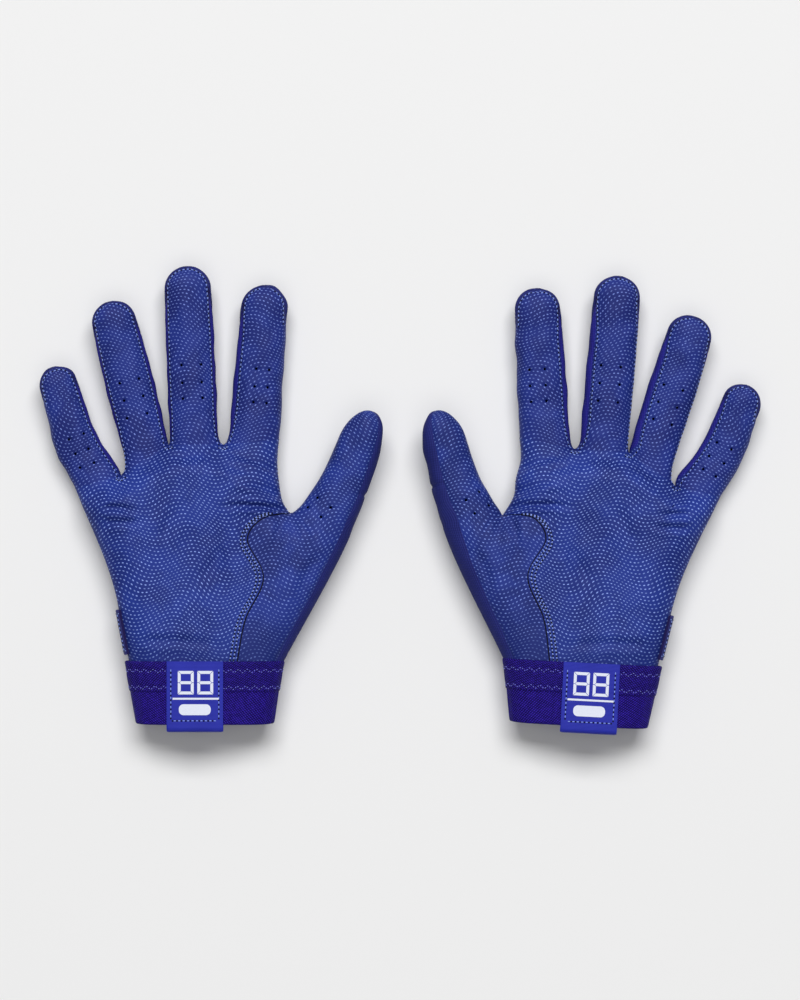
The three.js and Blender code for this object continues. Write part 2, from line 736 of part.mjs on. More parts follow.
// A band of the strap's width along a path of x and z with its two faces.
function bandGeometry(outside, inside, halfWidths) {
  const grid = (path) => path.map((p, i) =>
    range(BAND_STEPS).map((t) => new THREE.Vector3(p.x, lerp(-halfWidths[i], halfWidths[i], t), p.y)));
  return plateGeometry(grid(outside), grid(inside));
}

function foldGapAngle() {
  return CLEARANCE / 2 / WRIST_RISE;
}

function anchorGeometry() {
  const first = -radians(ANCHOR_FRONT_ANGLE);
  const last = radians(STRAP_FOLD_ANGLE) - foldGapAngle();
  const angles = range(2 * CORNER_STEPS).map((t) => lerp(first, last, t));
  const outside = angles.map((angle) => sidePoint(angle, CLEARANCE + STRAP_WALL));
  const inside = angles.map((angle) => sidePoint(angle, CLEARANCE));
  return bandGeometry(outside, inside, angles.map(() => STRAP_WIDTH / 2));
}

// The fold lies on the strap's outer face, so the strap can turn back against its anchor.
function strapFold() {
  return sidePoint(radians(STRAP_FOLD_ANGLE), 2 * CLEARANCE + STRAP_WALL);
}

function strapGeometry() {
  const start = radians(STRAP_FOLD_ANGLE) + foldGapAngle();
  const from = sidePoint(start, CLEARANCE + STRAP_WALL / 2);
  const ahead = sidePoint(start + foldGapAngle(), CLEARANCE + STRAP_WALL / 2);
  const heading = ahead.sub(from).normalize();
  const flatStart = new THREE.Vector2(EDGE_ROUND + STRAP_RUN_IN, STRAP_WALL / 2);
  const pull = flatStart.distanceTo(from) * STRAP_PULL;
  const curve = new THREE.CubicBezierCurve(
    from,
    from.clone().addScaledVector(heading, pull),
    flatStart.clone().add(new THREE.Vector2(-pull, 0)),
    flatStart,
  );
  const bend = range(CORNER_STEPS).map((t) => ({ point: curve.getPoint(t), tangent: curve.getTangent(t) }));
  const level = new THREE.Vector2(1, 0);
  const cornerStart = STRAP_REACH - STRAP_CORNER;
  const straightEnd = { point: new THREE.Vector2(cornerStart, STRAP_WALL / 2), tangent: level };
  const corner = range(SMALL_CORNER_STEPS).slice(1).map((t) => ({
    point: new THREE.Vector2(cornerStart + STRAP_CORNER * Math.sin((t * Math.PI) / 2), STRAP_WALL / 2),
    tangent: level,
    drawIn: STRAP_CORNER * (1 - Math.cos((t * Math.PI) / 2)),
  }));
  const path = [...bend, straightEnd, ...corner];
  const face = (side) => path.map(({ point, tangent }) => {
    const out = new THREE.Vector2(tangent.y, -tangent.x);
    return point.clone().addScaledVector(out, (side * STRAP_WALL) / 2);
  });
  const halfWidths = path.map(({ drawIn = 0 }) => STRAP_WIDTH / 2 - drawIn);
  return bandGeometry(face(1), face(-1), halfWidths);
}

// A hook or loop patch: a thin pad with round corners, from one x to another, on a level.
function patchGeometry(from, length, bottom) {
  const width = STRAP_WIDTH - 2 * PATCH_INSET;
  const r = PATCH_CORNER;
  const shape = new THREE.Shape();
  const half = width / 2;
  const to = from + length;
  shape.absarc(to - r, -half + r, r, -Math.PI / 2, 0, false);
  shape.absarc(to - r, half - r, r, 0, Math.PI / 2, false);
  shape.absarc(from + r, half - r, r, Math.PI / 2, Math.PI, false);
  shape.absarc(from + r, -half + r, r, Math.PI, 1.5 * Math.PI, false);
  shape.closePath();
  const geometry = new THREE.ExtrudeGeometry(shape, {
    depth: NAP,
    bevelEnabled: false,
    curveSegments: SMALL_CORNER_STEPS,
  });
  geometry.translate(0, 0, bottom);
  return geometry;
}

// Assembly

class Glove {
  constructor(prefix, lie) {
    this.prefix = prefix;
    this.group = new THREE.Group();
    this.hand = new Hand(lie);
    this.addHand();
    Object.entries(this.hand.fingers).forEach(([name, finger]) => this.addFinger(name, finger));
    this.addCuff();
    this.addClosure();
  }

  add(parent, name, geometry, finish) {
    const mesh = new THREE.Mesh(geometry, new THREE.MeshStandardMaterial(FINISHES[finish]));
    mesh.name = `${this.prefix}_${name}`;
    parent.add(mesh);
    return mesh;
  }

  addHand() {
    const { hand, group } = this;
    const thumbSide = hand.thumbSheet();
    this.add(group, "palm_leather", hand.handSheet(1).thicken("hand", LEATHER), "leather");
    this.add(group, "thenar_panel", thumbSide.thicken("thenar", LEATHER), "leather");
    this.add(group, "back_panel", hand.handSheet(-1).thicken("hand", STRETCH), "stretch");
    this.add(group, "thumb_gusset", thumbSide.thicken("gusset", STRETCH), "stretch");
  }

  // A finger's plates hang on its knuckle, a group that can be turned about its own X.
  addFinger(name, finger) {
    const root = new THREE.Group();
    root.position.set(finger.root.x, finger.root.y, finger.level);
    root.rotation.z = finger.turn;
    const knuckle = new THREE.Group();
    knuckle.name = `${this.prefix}_${name}_knuckle`;
    knuckle.position.copy(finger.knuckle());
    root.add(knuckle);
    this.group.add(root);
    const place = (piece, geometry, finish) => {
      geometry.translate(...knuckle.position.clone().negate().toArray());
      this.add(knuckle, `${name}_${piece}`, geometry, finish);
    };
    if (name === "thumb") this.addThumbPlates(finger, place);
    else this.addFingerPlates(name, finger, place);
  }

  addThumbPlates(finger, place) {
    const seam = radians(THUMB_SEAM_ANGLE);
    const inner = radians(THUMB_INNER_ANGLE);
    const front = finger.plate(() => [seam, inner], PLATE_STEPS, LEATHER);
    const back = finger.plate(() => [inner, seam + 2 * Math.PI], PLATE_STEPS + 2, STRETCH);
    place("front", front, "fingerLeather");
    place("back", back, "stretch");
  }

  // The outer sides of the index and little fingers have no side wall: the leather wraps there.
  addFingerPlates(name, finger, place) {
    const wrap = radians(WRAP_ANGLE);
    const thumbSide = name !== "index";
    const farSide = name !== "little";
    const frontLimits = (s) => {
      const side = finger.sideAngle(s);
      return [thumbSide ? side : -wrap, Math.PI - (farSide ? side : -wrap)];
    };
    const backLimits = (s) => {
      const side = finger.sideAngle(s);
      return [Math.PI + (farSide ? side : wrap), 2 * Math.PI - (thumbSide ? side : wrap)];
    };
    place("front", finger.plate(frontLimits, PLATE_STEPS, LEATHER), "fingerLeather");
    place("back", finger.plate(backLimits, PLATE_STEPS, STRETCH), "stretch");
    const wide = (ring) => finger.sideAngle(ring.y) * ring.w > 2 * CLEARANCE + STRETCH;
    const wall = (middle) => finger.plate(
      (s) => [middle - finger.sideAngle(s), middle + finger.sideAngle(s)],
      FOURCHETTE_STEPS,
      STRETCH,
      wide,
    );
    if (thumbSide) place("fourchette_thumb_side", wall(0), "stretch");
    if (farSide) place("fourchette_far_side", wall(Math.PI), "stretch");
  }

  addCuff() {
    this.add(this.group, "cuff", cuffGeometry(), "elastic");
    this.add(this.group, "pull_tab", tabGeometry(), "webbing");
  }

  addClosure() {
    const side = new THREE.Group();
    const up = STRAP_START + STRAP_WIDTH / 2;
    side.position.set(-WRIST_WIDTH / 2 - up * Math.sin(FLARE), up * Math.cos(FLARE), 0);
    side.rotation.z = FLARE;
    this.group.add(side);
    const hookFrom = STRAP_REACH - HOOK_END_INSET - HOOK_LENGTH;
    const loopFrom = STRAP_REACH - HOOK_END_INSET - LOOP_LENGTH;
    const hookLevel = STRAP_WALL + CLEARANCE;
    const loopLevel = hookLevel + NAP + CLEARANCE;
    this.add(side, "strap_anchor", anchorGeometry(), "strap");
    this.add(side, "loop_patch", patchGeometry(loopFrom, LOOP_LENGTH, loopLevel), "loop");

    const fold = strapFold();
    const hinge = new THREE.Group();
    hinge.name = `${this.prefix}_strap_hinge`;
    hinge.position.set(fold.x, 0, fold.y);
    side.add(hinge);
    const strap = strapGeometry();
    const hook = patchGeometry(hookFrom, HOOK_LENGTH, hookLevel);
    [strap, hook].forEach((geometry) => geometry.translate(-fold.x, 0, -fold.y));
    this.add(hinge, "closure_strap", strap, "strap");
    this.add(hinge, "hook_patch", hook, "hook");
  }
}

const pair = new THREE.Group();
const right = new Glove("right", RIGHT_LIE).group;
const left = new Glove("left", LEFT_LIE).group;
left.scale.x = -1;
left.position.set(PAIR_PITCH, -LEFT_DROP, 0);
left.rotation.z = radians(LEFT_TURN);
pair.add(right, left);

// The origin is the centre of the pair's footprint, on the table.
pair.updateMatrixWorld(true);
const box = new THREE.Box3().setFromObject(pair, true);
const centre = box.getCenter(new THREE.Vector3());
pair.position.set(-centre.x, -centre.y, -box.min.z);
pair.updateMatrixWorld(true);

export default pair;
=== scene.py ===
"""Dresses a pair of batting gloves, lying palm up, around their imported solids.

Lengths are millimetres in each glove's own frame until a mesh is made: +X points to the thumb
side, +Y to the fingertips and +Z out of the palm. The wrist line is y = 0, the table z = 0.
"""
import json
import logging
import math
from abc import ABC, abstractmethod
from dataclasses import dataclass, field
from enum import Enum
from typing import Callable, ClassVar, Sequence

import bpy
import numpy as np
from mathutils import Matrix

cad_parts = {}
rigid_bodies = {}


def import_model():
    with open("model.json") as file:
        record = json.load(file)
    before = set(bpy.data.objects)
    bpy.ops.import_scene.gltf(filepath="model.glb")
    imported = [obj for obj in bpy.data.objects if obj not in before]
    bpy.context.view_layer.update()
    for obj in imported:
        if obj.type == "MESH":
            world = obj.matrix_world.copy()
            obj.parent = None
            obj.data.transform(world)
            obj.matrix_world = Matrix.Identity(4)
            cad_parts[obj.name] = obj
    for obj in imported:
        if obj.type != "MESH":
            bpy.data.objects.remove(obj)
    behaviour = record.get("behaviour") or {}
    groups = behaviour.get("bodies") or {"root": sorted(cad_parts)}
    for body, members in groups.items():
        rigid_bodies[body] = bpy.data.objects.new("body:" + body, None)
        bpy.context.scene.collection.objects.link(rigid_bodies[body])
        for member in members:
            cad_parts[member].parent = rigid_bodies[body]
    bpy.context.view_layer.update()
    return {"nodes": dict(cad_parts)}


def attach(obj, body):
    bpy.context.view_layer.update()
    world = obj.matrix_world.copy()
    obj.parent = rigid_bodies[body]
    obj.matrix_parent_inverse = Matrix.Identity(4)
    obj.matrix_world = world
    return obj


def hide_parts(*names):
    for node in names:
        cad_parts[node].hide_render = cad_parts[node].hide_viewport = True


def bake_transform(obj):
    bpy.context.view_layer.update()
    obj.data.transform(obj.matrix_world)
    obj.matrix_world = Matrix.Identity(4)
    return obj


LOG = logging.getLogger("gloves")
Array = np.ndarray
Field = np.ndarray | float
Pair = tuple[float, float]
Colour = tuple[int, int, int]

MM = 0.001
CLOTH_UNIT = 100.0
CLOTH_MAP = "Cloth"
TURN = 2 * math.pi
QUARTER = math.pi / 2
SECTION_POWER = 0.88
LEATHER_WALL = 0.9
STRETCH_WALL = 0.9
SHARED_GRAIN = 500
WELD_GRAIN = 1000
RIPPLE_SPREAD = (0.7, 1.4)


# Small mathematics

def lerp(a: Field, b: Field, t: Field) -> Field:
    """Returns the value between a and b at share t."""
    return a + (b - a) * t


def smoothstep(x: Field, low: float, high: float) -> Field:
    """Returns 0 below low, 1 above high and a smooth rise between them."""
    t = np.clip((np.asarray(x, float) - low) / (high - low), 0, 1)
    return t * t * (3 - 2 * t)


def power(value: Field) -> Field:
    """Returns a value raised to the section's power, its sign kept."""
    return np.sign(value) * np.abs(value) ** SECTION_POWER


def unit(vectors: Array) -> Array:
    """Returns vectors of length one."""
    return vectors / np.maximum(np.linalg.norm(vectors, axis=-1, keepdims=True), 1e-12)


def arc_lengths(points: Array) -> Array:
    """Returns the running length along a line of points, from 0."""
    steps = np.linalg.norm(np.diff(points, axis=0), axis=-1)
    return np.concatenate([[0.0], np.cumsum(steps)])


def row_lengths(grid: Array) -> Array:
    """Returns the running length along each row of a grid of points, from 0."""
    steps = np.linalg.norm(np.diff(grid, axis=1), axis=-1)
    return np.concatenate([np.zeros((len(grid), 1)), np.cumsum(steps, axis=1)], axis=1)


def values_at(places: Field, run: Array, values: Array) -> Array:
    """Returns a line's values at places of its running length."""
    return np.stack([np.interp(places, run, column) for column in values.T], axis=-1)


def bell(x: Field, width: float) -> Field:
    """Returns 1 at 0 and a smooth fall towards 0 on both sides."""
    return np.exp(-(x / width) ** 2)


def raised(plan: Array, height: Array) -> Array:
    """Returns places of the plan as points at heights."""
    return np.concatenate([plan, height[..., None]], axis=-1)


def ripple(points: Array, wavelength: float, seed: int, waves: int = 9) -> Array:
    """Sums plane waves into a smooth uneven field.

    Args:
        points: places, with the coordinates last.
        wavelength: the waves' usual length.
        seed: fixes the waves.
        waves: how many are summed.

    Returns:
        Values of about -1 to 1, one for each place.
    """
    rng = np.random.default_rng(seed)
    ways = unit(rng.normal(size=(waves, points.shape[-1])))
    rates = TURN / wavelength * rng.uniform(*RIPPLE_SPREAD, waves)
    phases = rng.uniform(0, TURN, waves)
    return np.sin(points @ (ways * rates[:, None]).T + phases).sum(axis=-1) / math.sqrt(waves * 2)


@dataclass(frozen=True)
class Spline:
    """A smooth line through knots, each span an equal step of its parameter."""

    knots: Array

    def at(self, t: Field) -> Array:
        """Finds points of the line.

        Args:
            t: parameters from 0 to 1.

        Returns:
            The points.
        """
        last = len(self.knots) - 1
        place = np.clip(np.asarray(t, float), 0, 1) * last
        i = np.minimum(place.astype(int), last - 1)
        w = (place - i)[..., None]
        p0, p1 = self.knots[np.maximum(i - 1, 0)], self.knots[i]
        p2, p3 = self.knots[i + 1], self.knots[np.minimum(i + 2, last)]
        v0, v1 = (p2 - p0) / 2, (p3 - p1) / 2
        cubic = (2 * p1 - 2 * p2 + v0 + v1) * w ** 3
        return cubic + (-3 * p1 + 3 * p2 - 2 * v0 - v1) * w ** 2 + v0 * w + p1

    def aside(self, t: Field) -> Array:
        """Finds the ways to the line's right.

        Args:
            t: parameters from 0 to 1.

        Returns:
            Unit ways of the plan.
        """
        step = 1e-3
        run = unit(self.at(np.asarray(t, float) + step) - self.at(np.asarray(t, float) - step))
        return np.stack([run[..., 1], -run[..., 0]], axis=-1)


@dataclass(frozen=True)
class Joined(Spline):
    """Two smooth lines that meet at a corner, at one share of the parameter."""

    rest: Spline
    share: float

    def at(self, t: Field) -> Array:
        """Finds points of the line.

        Args:
            t: parameters from 0 to 1.

        Returns:
            The points.
        """
        t = np.asarray(t, float)
        low, high = super().at(t / self.share), self.rest.at((t - self.share) / (1 - self.share))
        return np.where((t <= self.share)[..., None], low, high)


@dataclass(frozen=True)
class Bezier:
    """A cubic curve from its first to its last point."""

    points: Array

    def at(self, t: Field) -> Array:
        """Finds points of the curve.

        Args:
            t: parameters from 0 to 1.

        Returns:
            The points.
        """
        t = np.asarray(t, float)[..., None]
        a, b, c, d = self.points
        return (1 - t) ** 3 * a + 3 * (1 - t) ** 2 * t * b + 3 * (1 - t) * t ** 2 * c + t ** 3 * d


# Shader values

class Value:
    """A shader socket that can be used in Python sums."""

    def __init__(self, tree: bpy.types.NodeTree, socket: bpy.types.NodeSocket) -> None:
        """Keeps the socket and the tree it belongs to."""
        self.tree = tree
        self.socket = socket

    def math(self, operation: str, *others: "Value | float") -> "Value":
        """Returns a Math node's result on this value and others."""
        inputs = dict(enumerate((self, *others)))
        return node(self.tree, "ShaderNodeMath", {"operation": operation}, inputs)

    def __add__(self, other: "Value | float") -> "Value":
        """Returns the sum."""
        return self.math("ADD", other)

    def __sub__(self, other: "Value | float") -> "Value":
        """Returns the difference."""
        return self.math("SUBTRACT", other)

    def __rsub__(self, other: "Value | float") -> "Value":
        """Returns a number less this value."""
        return node(self.tree, "ShaderNodeMath", {"operation": "SUBTRACT"}, {0: other, 1: self})

    def __mul__(self, other: "Value | float") -> "Value":
        """Returns the product."""
        return self.math("MULTIPLY", other)

    def __truediv__(self, other: "Value | float") -> "Value":
        """Returns the quotient."""
        return self.math("DIVIDE", other)

    def ramp(self, low: float, high: float, start: float = 0.0, end: float = 1.0) -> "Value":
        """Changes this value smoothly from start to end.

        Args:
            low: where the change begins.
            high: where it ends.
            start: the result below low.
            end: the result above high.

        Returns:
            The result.
        """
        settings = {"interpolation_type": "SMOOTHSTEP"}
        inputs = {"Value": self, "From Min": low, "From Max": high, "To Min": start, "To Max": end}
        return node(self.tree, "ShaderNodeMapRange", settings, inputs)

    def turns(self, length: float) -> "Value":
        """Returns this value as an angle with one turn in each length."""
        return self * (TURN / length)

    def wave(self) -> "Value":
        """Returns the sine of this value, brought to 0 to 1."""
        return self.math("SINE") * 0.5 + 0.5


def node(tree: bpy.types.NodeTree, kind: str, settings: dict, inputs: dict,
         output: int | str = 0) -> Value:
    """Adds a node, sets it and then gives it its values and links.

    Args:
        tree: the tree it goes in.
        kind: the node's type name.
        settings: attributes of the node.
        inputs: values or Values by socket name or place.
        output: name or place of the wanted output.

    Returns:
        The wanted output.
    """
    made = tree.nodes.new(kind)
    for key, setting in settings.items():
        setattr(made, key, setting)
    for key, given in inputs.items():
        if isinstance(given, Value):
            tree.links.new(given.socket, made.inputs[key])
        else:
            made.inputs[key].default_value = given
    return Value(tree, made.outputs[output])


def linear(colour: Colour) -> tuple[float, float, float, float]:
    """Turns a screen colour into the renderer's linear colour.

    Args:
        colour: the screen colour.

    Returns:
        Red, green, blue and 1.
    """
    shares = [c / 255 for c in colour]
    steps = [s / 12.92 if s <= 0.04045 else ((s + 0.055) / 1.055) ** 2.4 for s in shares]
    return (steps[0], steps[1], steps[2], 1.0)


class Wiring:
    """A node tree that is built node by node."""

    def __init__(self, tree: bpy.types.NodeTree) -> None:
        """Keeps the tree."""
        self.tree = tree

    def add(self, kind: str, settings: dict | None = None, inputs: dict | None = None,
            output: int | str = 0) -> Value:
        """Returns one output of a new node."""
        return node(self.tree, kind, settings or {}, inputs or {}, output)

    def scaled(self, vector: Value, scale: Value | float) -> Value:
        """Returns a vector times a number or a value."""
        return self.add("ShaderNodeVectorMath", {"operation": "SCALE"}, {0: vector, "Scale": scale})


class Painter(Wiring):
    """A material's tree with the coordinates and helpers that finishes share."""

    def __init__(self, name: str) -> None:
        """Makes an empty material with one principled shader."""
        self.material = bpy.data.materials.new(name)
        self.material.use_nodes = True
        super().__init__(self.material.node_tree)
        self.shader = self.tree.nodes["Principled BSDF"]

    def axis(self, place: Value, which: int) -> Value:
        """Returns one coordinate of a place."""
        return self.add("ShaderNodeSeparateXYZ", {}, {0: place}, which)

    def cloth(self) -> tuple[Value, Value]:
        """Returns the place on the cut cloth in millimetres, across and along."""
        place = self.scaled(self.add("ShaderNodeUVMap", {"uv_map": CLOTH_MAP}), CLOTH_UNIT)
        return self.axis(place, 0), self.axis(place, 1)

    def body(self) -> Value:
        """Returns the place on the object in millimetres."""
        return self.scaled(self.add("ShaderNodeTexCoord", {}, {}, "Object"), 1 / MM)

    def noise(self, place: Value, size: float, detail: float = 2.0) -> Value:
        """Returns a cloudy field of 0 to 1 whose patches are about size wide."""
        inputs = {"Vector": place, "Scale": 1 / size, "Detail": detail}
        return self.add("ShaderNodeTexNoise", {}, inputs, "Fac")

    def mix(self, factor: Value, a: Value | Colour, b: Colour) -> Value:
        """Returns a colour between a and b."""
        ends = {6: a if isinstance(a, Value) else linear(a), 7: linear(b)}
        return self.add("ShaderNodeMix", {"data_type": "RGBA"}, {0: factor, **ends}, 2)

    def finish(self, colour: Value, roughness: Value, shine: float, height: Value, depth: float) -> None:
        """Feeds the shader.

        Args:
            colour: the base colour.
            roughness: the roughness.
            shine: the specular level.
            height: the relief, 0 to 1.
            depth: the relief's depth in millimetres.
        """
        relief = self.add("ShaderNodeBump", {}, {"Distance": depth * MM, "Height": height})
        given = {"Base Color": colour, "Roughness": roughness, "Specular IOR Level": shine, "Normal": relief}
        for name, value in given.items():
            self.feed(name, value)

    def feed(self, name: str, value: Value | float | tuple) -> None:
        """Links or sets one of the shader's inputs.

        Args:
            name: the input's name.
            value: what it is given.
        """
        if isinstance(value, Value):
            self.tree.links.new(value.socket, self.shader.inputs[name])
        else:
            self.shader.inputs[name].default_value = value


class Finish(ABC):
    """A surface finish that makes its material once."""

    name: str
    made: ClassVar[dict["Finish", bpy.types.Material]] = {}

    def material(self) -> bpy.types.Material:
        """Paints the finish's material on first use.

        Returns:
            The material.
        """
        if self not in Finish.made:
            painter = Painter(self.name)
            self.paint(painter)
            Finish.made[self] = painter.material
        return Finish.made[self]

    @abstractmethod
    def paint(self, painter: Painter) -> None:
        """Builds the material's nodes."""


@dataclass(frozen=True)
class DottedLeather(Finish):
    """Thin goatskin printed with raised grains whose rows flow in waves."""

    name: str
    base: Colour = (34, 55, 143)
    grain: Colour = (146, 172, 248)
    shade: Colour = (24, 41, 119)
    column_pitch: float = 2.0
    row_pitch: float = 1.76
    wave_length: float = 36.0
    wave_height: float = 3.3
    sway: Pair = (71.0, 0.9)
    swell: Pair = (89.0, 2.0)
    drift: Pair = (37.0, 0.9)
    grain_length: float = 0.50
    grain_width: float = 0.29
    grain_edge: Pair = (0.7, 1.2)
    grain_shift: float = 0.35
    faintest: float = 0.4
    cloud_size: float = 17.0
    cloud_edge: Pair = (0.32, 0.7)
    pore_size: float = 0.55
    roughness: float = 0.56
    shine: float = 0.18
    relief: float = 0.10
    # Painted shade toward the cuff: its strength, and the heights where it begins and where it is full.
    heel_shade: float = 0.7
    heel_shade_start: float = -63.0
    heel_shade_end: float = -77.0

    def paint(self, painter: Painter) -> None:
        """Lays wavy rows of light grains over a cloudy base, with painted shade that darkens it and dims the
        grains toward the cuff.

        Args:
            painter: the material's tree.
        """
        u, v = painter.cloth()

        def slow(way: Value, wave: Pair) -> Value:
            """Returns a slow wave of a length and a height along one way of the cloth."""
            return way.turns(wave[0]).math("SINE") * wave[1]

        phase = u.turns(self.wave_length) + slow(v, self.sway)
        along = v + phase.math("SINE") * self.wave_height + slow(u, self.swell)
        steepness = (TURN * self.wave_height / self.wave_length) ** 2
        stretch = (phase * 2.0).math("SINE") * (steepness * self.wave_length / (8 * TURN))
        across = u * (1 + steepness / 4) + stretch + slow(v, self.drift)
        row = (along / self.row_pitch).math("FLOOR")
        column = across / self.column_pitch + row.math("FLOORED_MODULO", 2.0) * 0.5
        cell = painter.add("ShaderNodeCombineXYZ", {}, {0: column.math("FLOOR"), 1: row})
        plane = {"noise_dimensions": "2D"}
        chance = painter.add("ShaderNodeTexWhiteNoise", plane, {"Vector": cell}, "Value")
        x = (column.math("FRACT") - 0.5) * self.column_pitch + (chance - 0.5) * self.grain_shift
        y = ((along / self.row_pitch).math("FRACT") - 0.5) * self.row_pitch
        x, y = x / self.grain_length, y / self.grain_width
        mark = (x * x + y * y).math("SQRT").ramp(*self.grain_edge, 1.0, 0.0)
        place = painter.body()
        cloud = painter.noise(place, self.cloud_size, 3.0).ramp(*self.cloud_edge)
        pores = painter.noise(place, self.pore_size)
        # Painted shade: the ground darkens and the grains dim toward the cuff, where the cuff's lap shades
        # the leather.
        low = painter.axis(place, 1).ramp(self.heel_shade_end, self.heel_shade_start, self.heel_shade, 0.0)
        ground = painter.mix(cloud * (1.0 - low), self.shade, self.base)
        light = mark * (chance * (1 - self.faintest) + self.faintest) * (1.0 - low * 0.5)
        colour = painter.mix(light, ground, self.grain)
        roughness = self.roughness - mark * 0.12 + pores * 0.1
        painter.finish(colour, roughness, self.shine, mark * 0.8 + pores * 0.3, self.relief)


@dataclass(frozen=True)
class Knit(Finish):
    """Stretch cloth with fine ribs along it."""

    name: str
    low: Colour = (23, 25, 84)
    high: Colour = (48, 56, 136)
    rib: float = 1.0
    course: float = 0.8
    lean: float = 2.2
    cloud_size: float = 11.0
    roughness: float = 0.82
    shine: float = 0.12
    relief: float = 0.18

    def paint(self, painter: Painter) -> None:
        """Weaves ribs and courses into loops.

        Args:
            painter: the material's tree.
        """
        u, v = painter.cloth()
        ribs = u.turns(self.rib).wave()
        lean = (ribs - 0.5).math("ABSOLUTE") * self.lean
        courses = (v.turns(self.course) + lean).wave()
        loops = ribs * 0.6 + courses * 0.4
        cloud = painter.noise(painter.body(), self.cloud_size)
        colour = painter.mix(loops * 0.7 + cloud * 0.3, self.low, self.high)
        painter.finish(colour, self.roughness - loops * 0.12, self.shine, loops, self.relief)


@dataclass(frozen=True)
class Twill(Finish):
    """Woven elastic with slanting ribs."""

    name: str
    low: Colour = (6, 1, 52)
    high: Colour = (60, 38, 188)
    pitch: float = 1.35
    slant: float = 1.0
    weft: float = 1.15
    weft_run: float = 2.7
    weave_edge: Pair = (0.12, 0.8)
    fleck_size: float = 1.6
    fleck_edge: Pair = (0.35, 0.75)
    roughness: float = 0.78
    shine: float = 0.1
    relief: float = 0.16

    def paint(self, painter: Painter) -> None:
        """Weaves slanting ribs crossed by the weft.

        Args:
            painter: the material's tree.
        """
        u, v = painter.cloth()
        ribs = (u + v * self.slant).turns(self.pitch).wave()
        weft = (v.turns(self.weft) - u * (self.slant * TURN / self.weft_run)).wave()
        weave = (ribs * (weft * 0.65 + 0.35)).ramp(*self.weave_edge)
        flecks = painter.noise(painter.body(), self.fleck_size).ramp(*self.fleck_edge)
        colour = painter.mix(weave * 0.8 + flecks * 0.2, self.low, self.high)
        painter.finish(colour, self.roughness - weave * 0.1, self.shine, weave, self.relief)


@dataclass(frozen=True)
class Satin(Finish):
    """Close woven tape with fine ribs across it."""

    name: str
    low: Colour = (30, 37, 140)
    high: Colour = (50, 58, 186)
    pitch: float = 0.62
    warp_pitch: float = 0.5
    cloud_size: float = 9.0
    roughness: float = 0.58
    shine: float = 0.12
    relief: float = 0.08

    def paint(self, painter: Painter) -> None:
        """Weaves fine ribs with a slow change of shade.

        Args:
            painter: the material's tree.
        """
        u, v = painter.cloth()
        weave = v.turns(self.pitch).wave() * 0.7 + u.turns(self.warp_pitch).wave() * 0.3
        cloud = painter.noise(painter.body(), self.cloud_size)
        colour = painter.mix(weave * 0.55 + cloud * 0.45, self.low, self.high)
        painter.finish(colour, self.roughness - weave * 0.1, self.shine, weave, self.relief)


@dataclass(frozen=True)
class Plain(Finish):
    """One colour with a slight unevenness."""

    name: str
    colour: Colour
    roughness: float = 0.6
    unevenness: float = 0.12
    shine: float = 0.3
    patch: float = 1.5
    relief: float = 0.05

    def paint(self, painter: Painter) -> None:
        """Clouds the colour and the roughness a little.

        Args:
            painter: the material's tree.
        """
        cloud = painter.noise(painter.body(), self.patch)
        dark = tuple(int(c * (1 - self.unevenness)) for c in self.colour)
        light = tuple(min(255, int(c * (1 + self.unevenness))) for c in self.colour)
        roughness = cloud * 0.15 + (self.roughness - 0.07)
        painter.finish(painter.mix(cloud, dark, light), roughness, self.shine, cloud, self.relief)


# The palm and thumb leathers carry painted shade toward the cuff; the thumb's is full strength and begins
# further from it.
LEATHER = DottedLeather("palm_leather_dotted")
FINGER_LEATHER = DottedLeather(
    "finger_leather_dotted", base=(34, 51, 135), grain=(124, 145, 225), shade=(26, 38, 112))
THUMB_LEATHER = DottedLeather(
    "thumb_leather_dotted", base=(37, 56, 143), grain=(124, 147, 226), shade=(26, 40, 112),
    heel_shade=1.0, heel_shade_start=-46.0)
CUT_EDGE = Plain("leather_cut_edge", (16, 16, 38), 0.85)
KNIT = Knit("stretch_knit")
SIDE_KNIT = Knit("side_wall_knit", (25, 22, 104), (53, 53, 164))
KNIT_EDGE = Plain("stretch_edge", (24, 17, 74), 0.85)
TWILL = Twill("cuff_elastic")
HEM = Twill("cuff_hem", (5, 1, 50), (57, 38, 176), 1.25, -1.0)
TAPE = Satin("tab_tape")
STRAP_SKIN = Satin("strap_skin", (26, 28, 100), (40, 44, 132), 0.9)
THREAD = Plain("thread_light", (138, 160, 232), 0.55, 0.1, 0.35, 0.6)
CUFF_THREAD = Plain("thread_cuff", (120, 122, 222), 0.55, 0.12, 0.3, 0.6)
# Painted shade: near-black dents stand for the shade inside each needle hole.
NEEDLE_HOLE_SHADE = Plain("needle_hole", (13, 13, 40), 0.9)
PRINT = Plain("white_print", (226, 231, 247), 0.55, 0.04, 0.35, 0.4)
HOOKS = Plain("hook_nylon", (24, 24, 32), 0.5)
LOOPS = Plain("loop_nap", (30, 28, 70), 0.9)


# Panels

class Edge(Enum):
    """An edge of a panel's grid."""

    FIRST_COLUMN = "first column"
    LAST_COLUMN = "last column"


@dataclass(frozen=True)
class Placement:
    """Where a glove lies: its origin on the table, its turn, and whether it is the mirrored one."""

    prefix: str
    origin: Pair
    turn: float
    mirrored: bool

    def ways(self, vectors: Array) -> Array:
        """Turns directions of the glove's frame into the table's frame.

        Args:
            vectors: the directions.

        Returns:
            The turned directions.
        """
        x = -vectors[..., 0] if self.mirrored else vectors[..., 0]
        y, c, s = vectors[..., 1], math.cos(self.turn), math.sin(self.turn)
        return np.stack([c * x - s * y, s * x + c * y, vectors[..., 2]], axis=-1)

    def world(self, points: Array) -> Array:
        """Returns points of the glove in metres on the table."""
        return (self.ways(np.asarray(points, float)) + [*self.origin, 0.0]) * MM


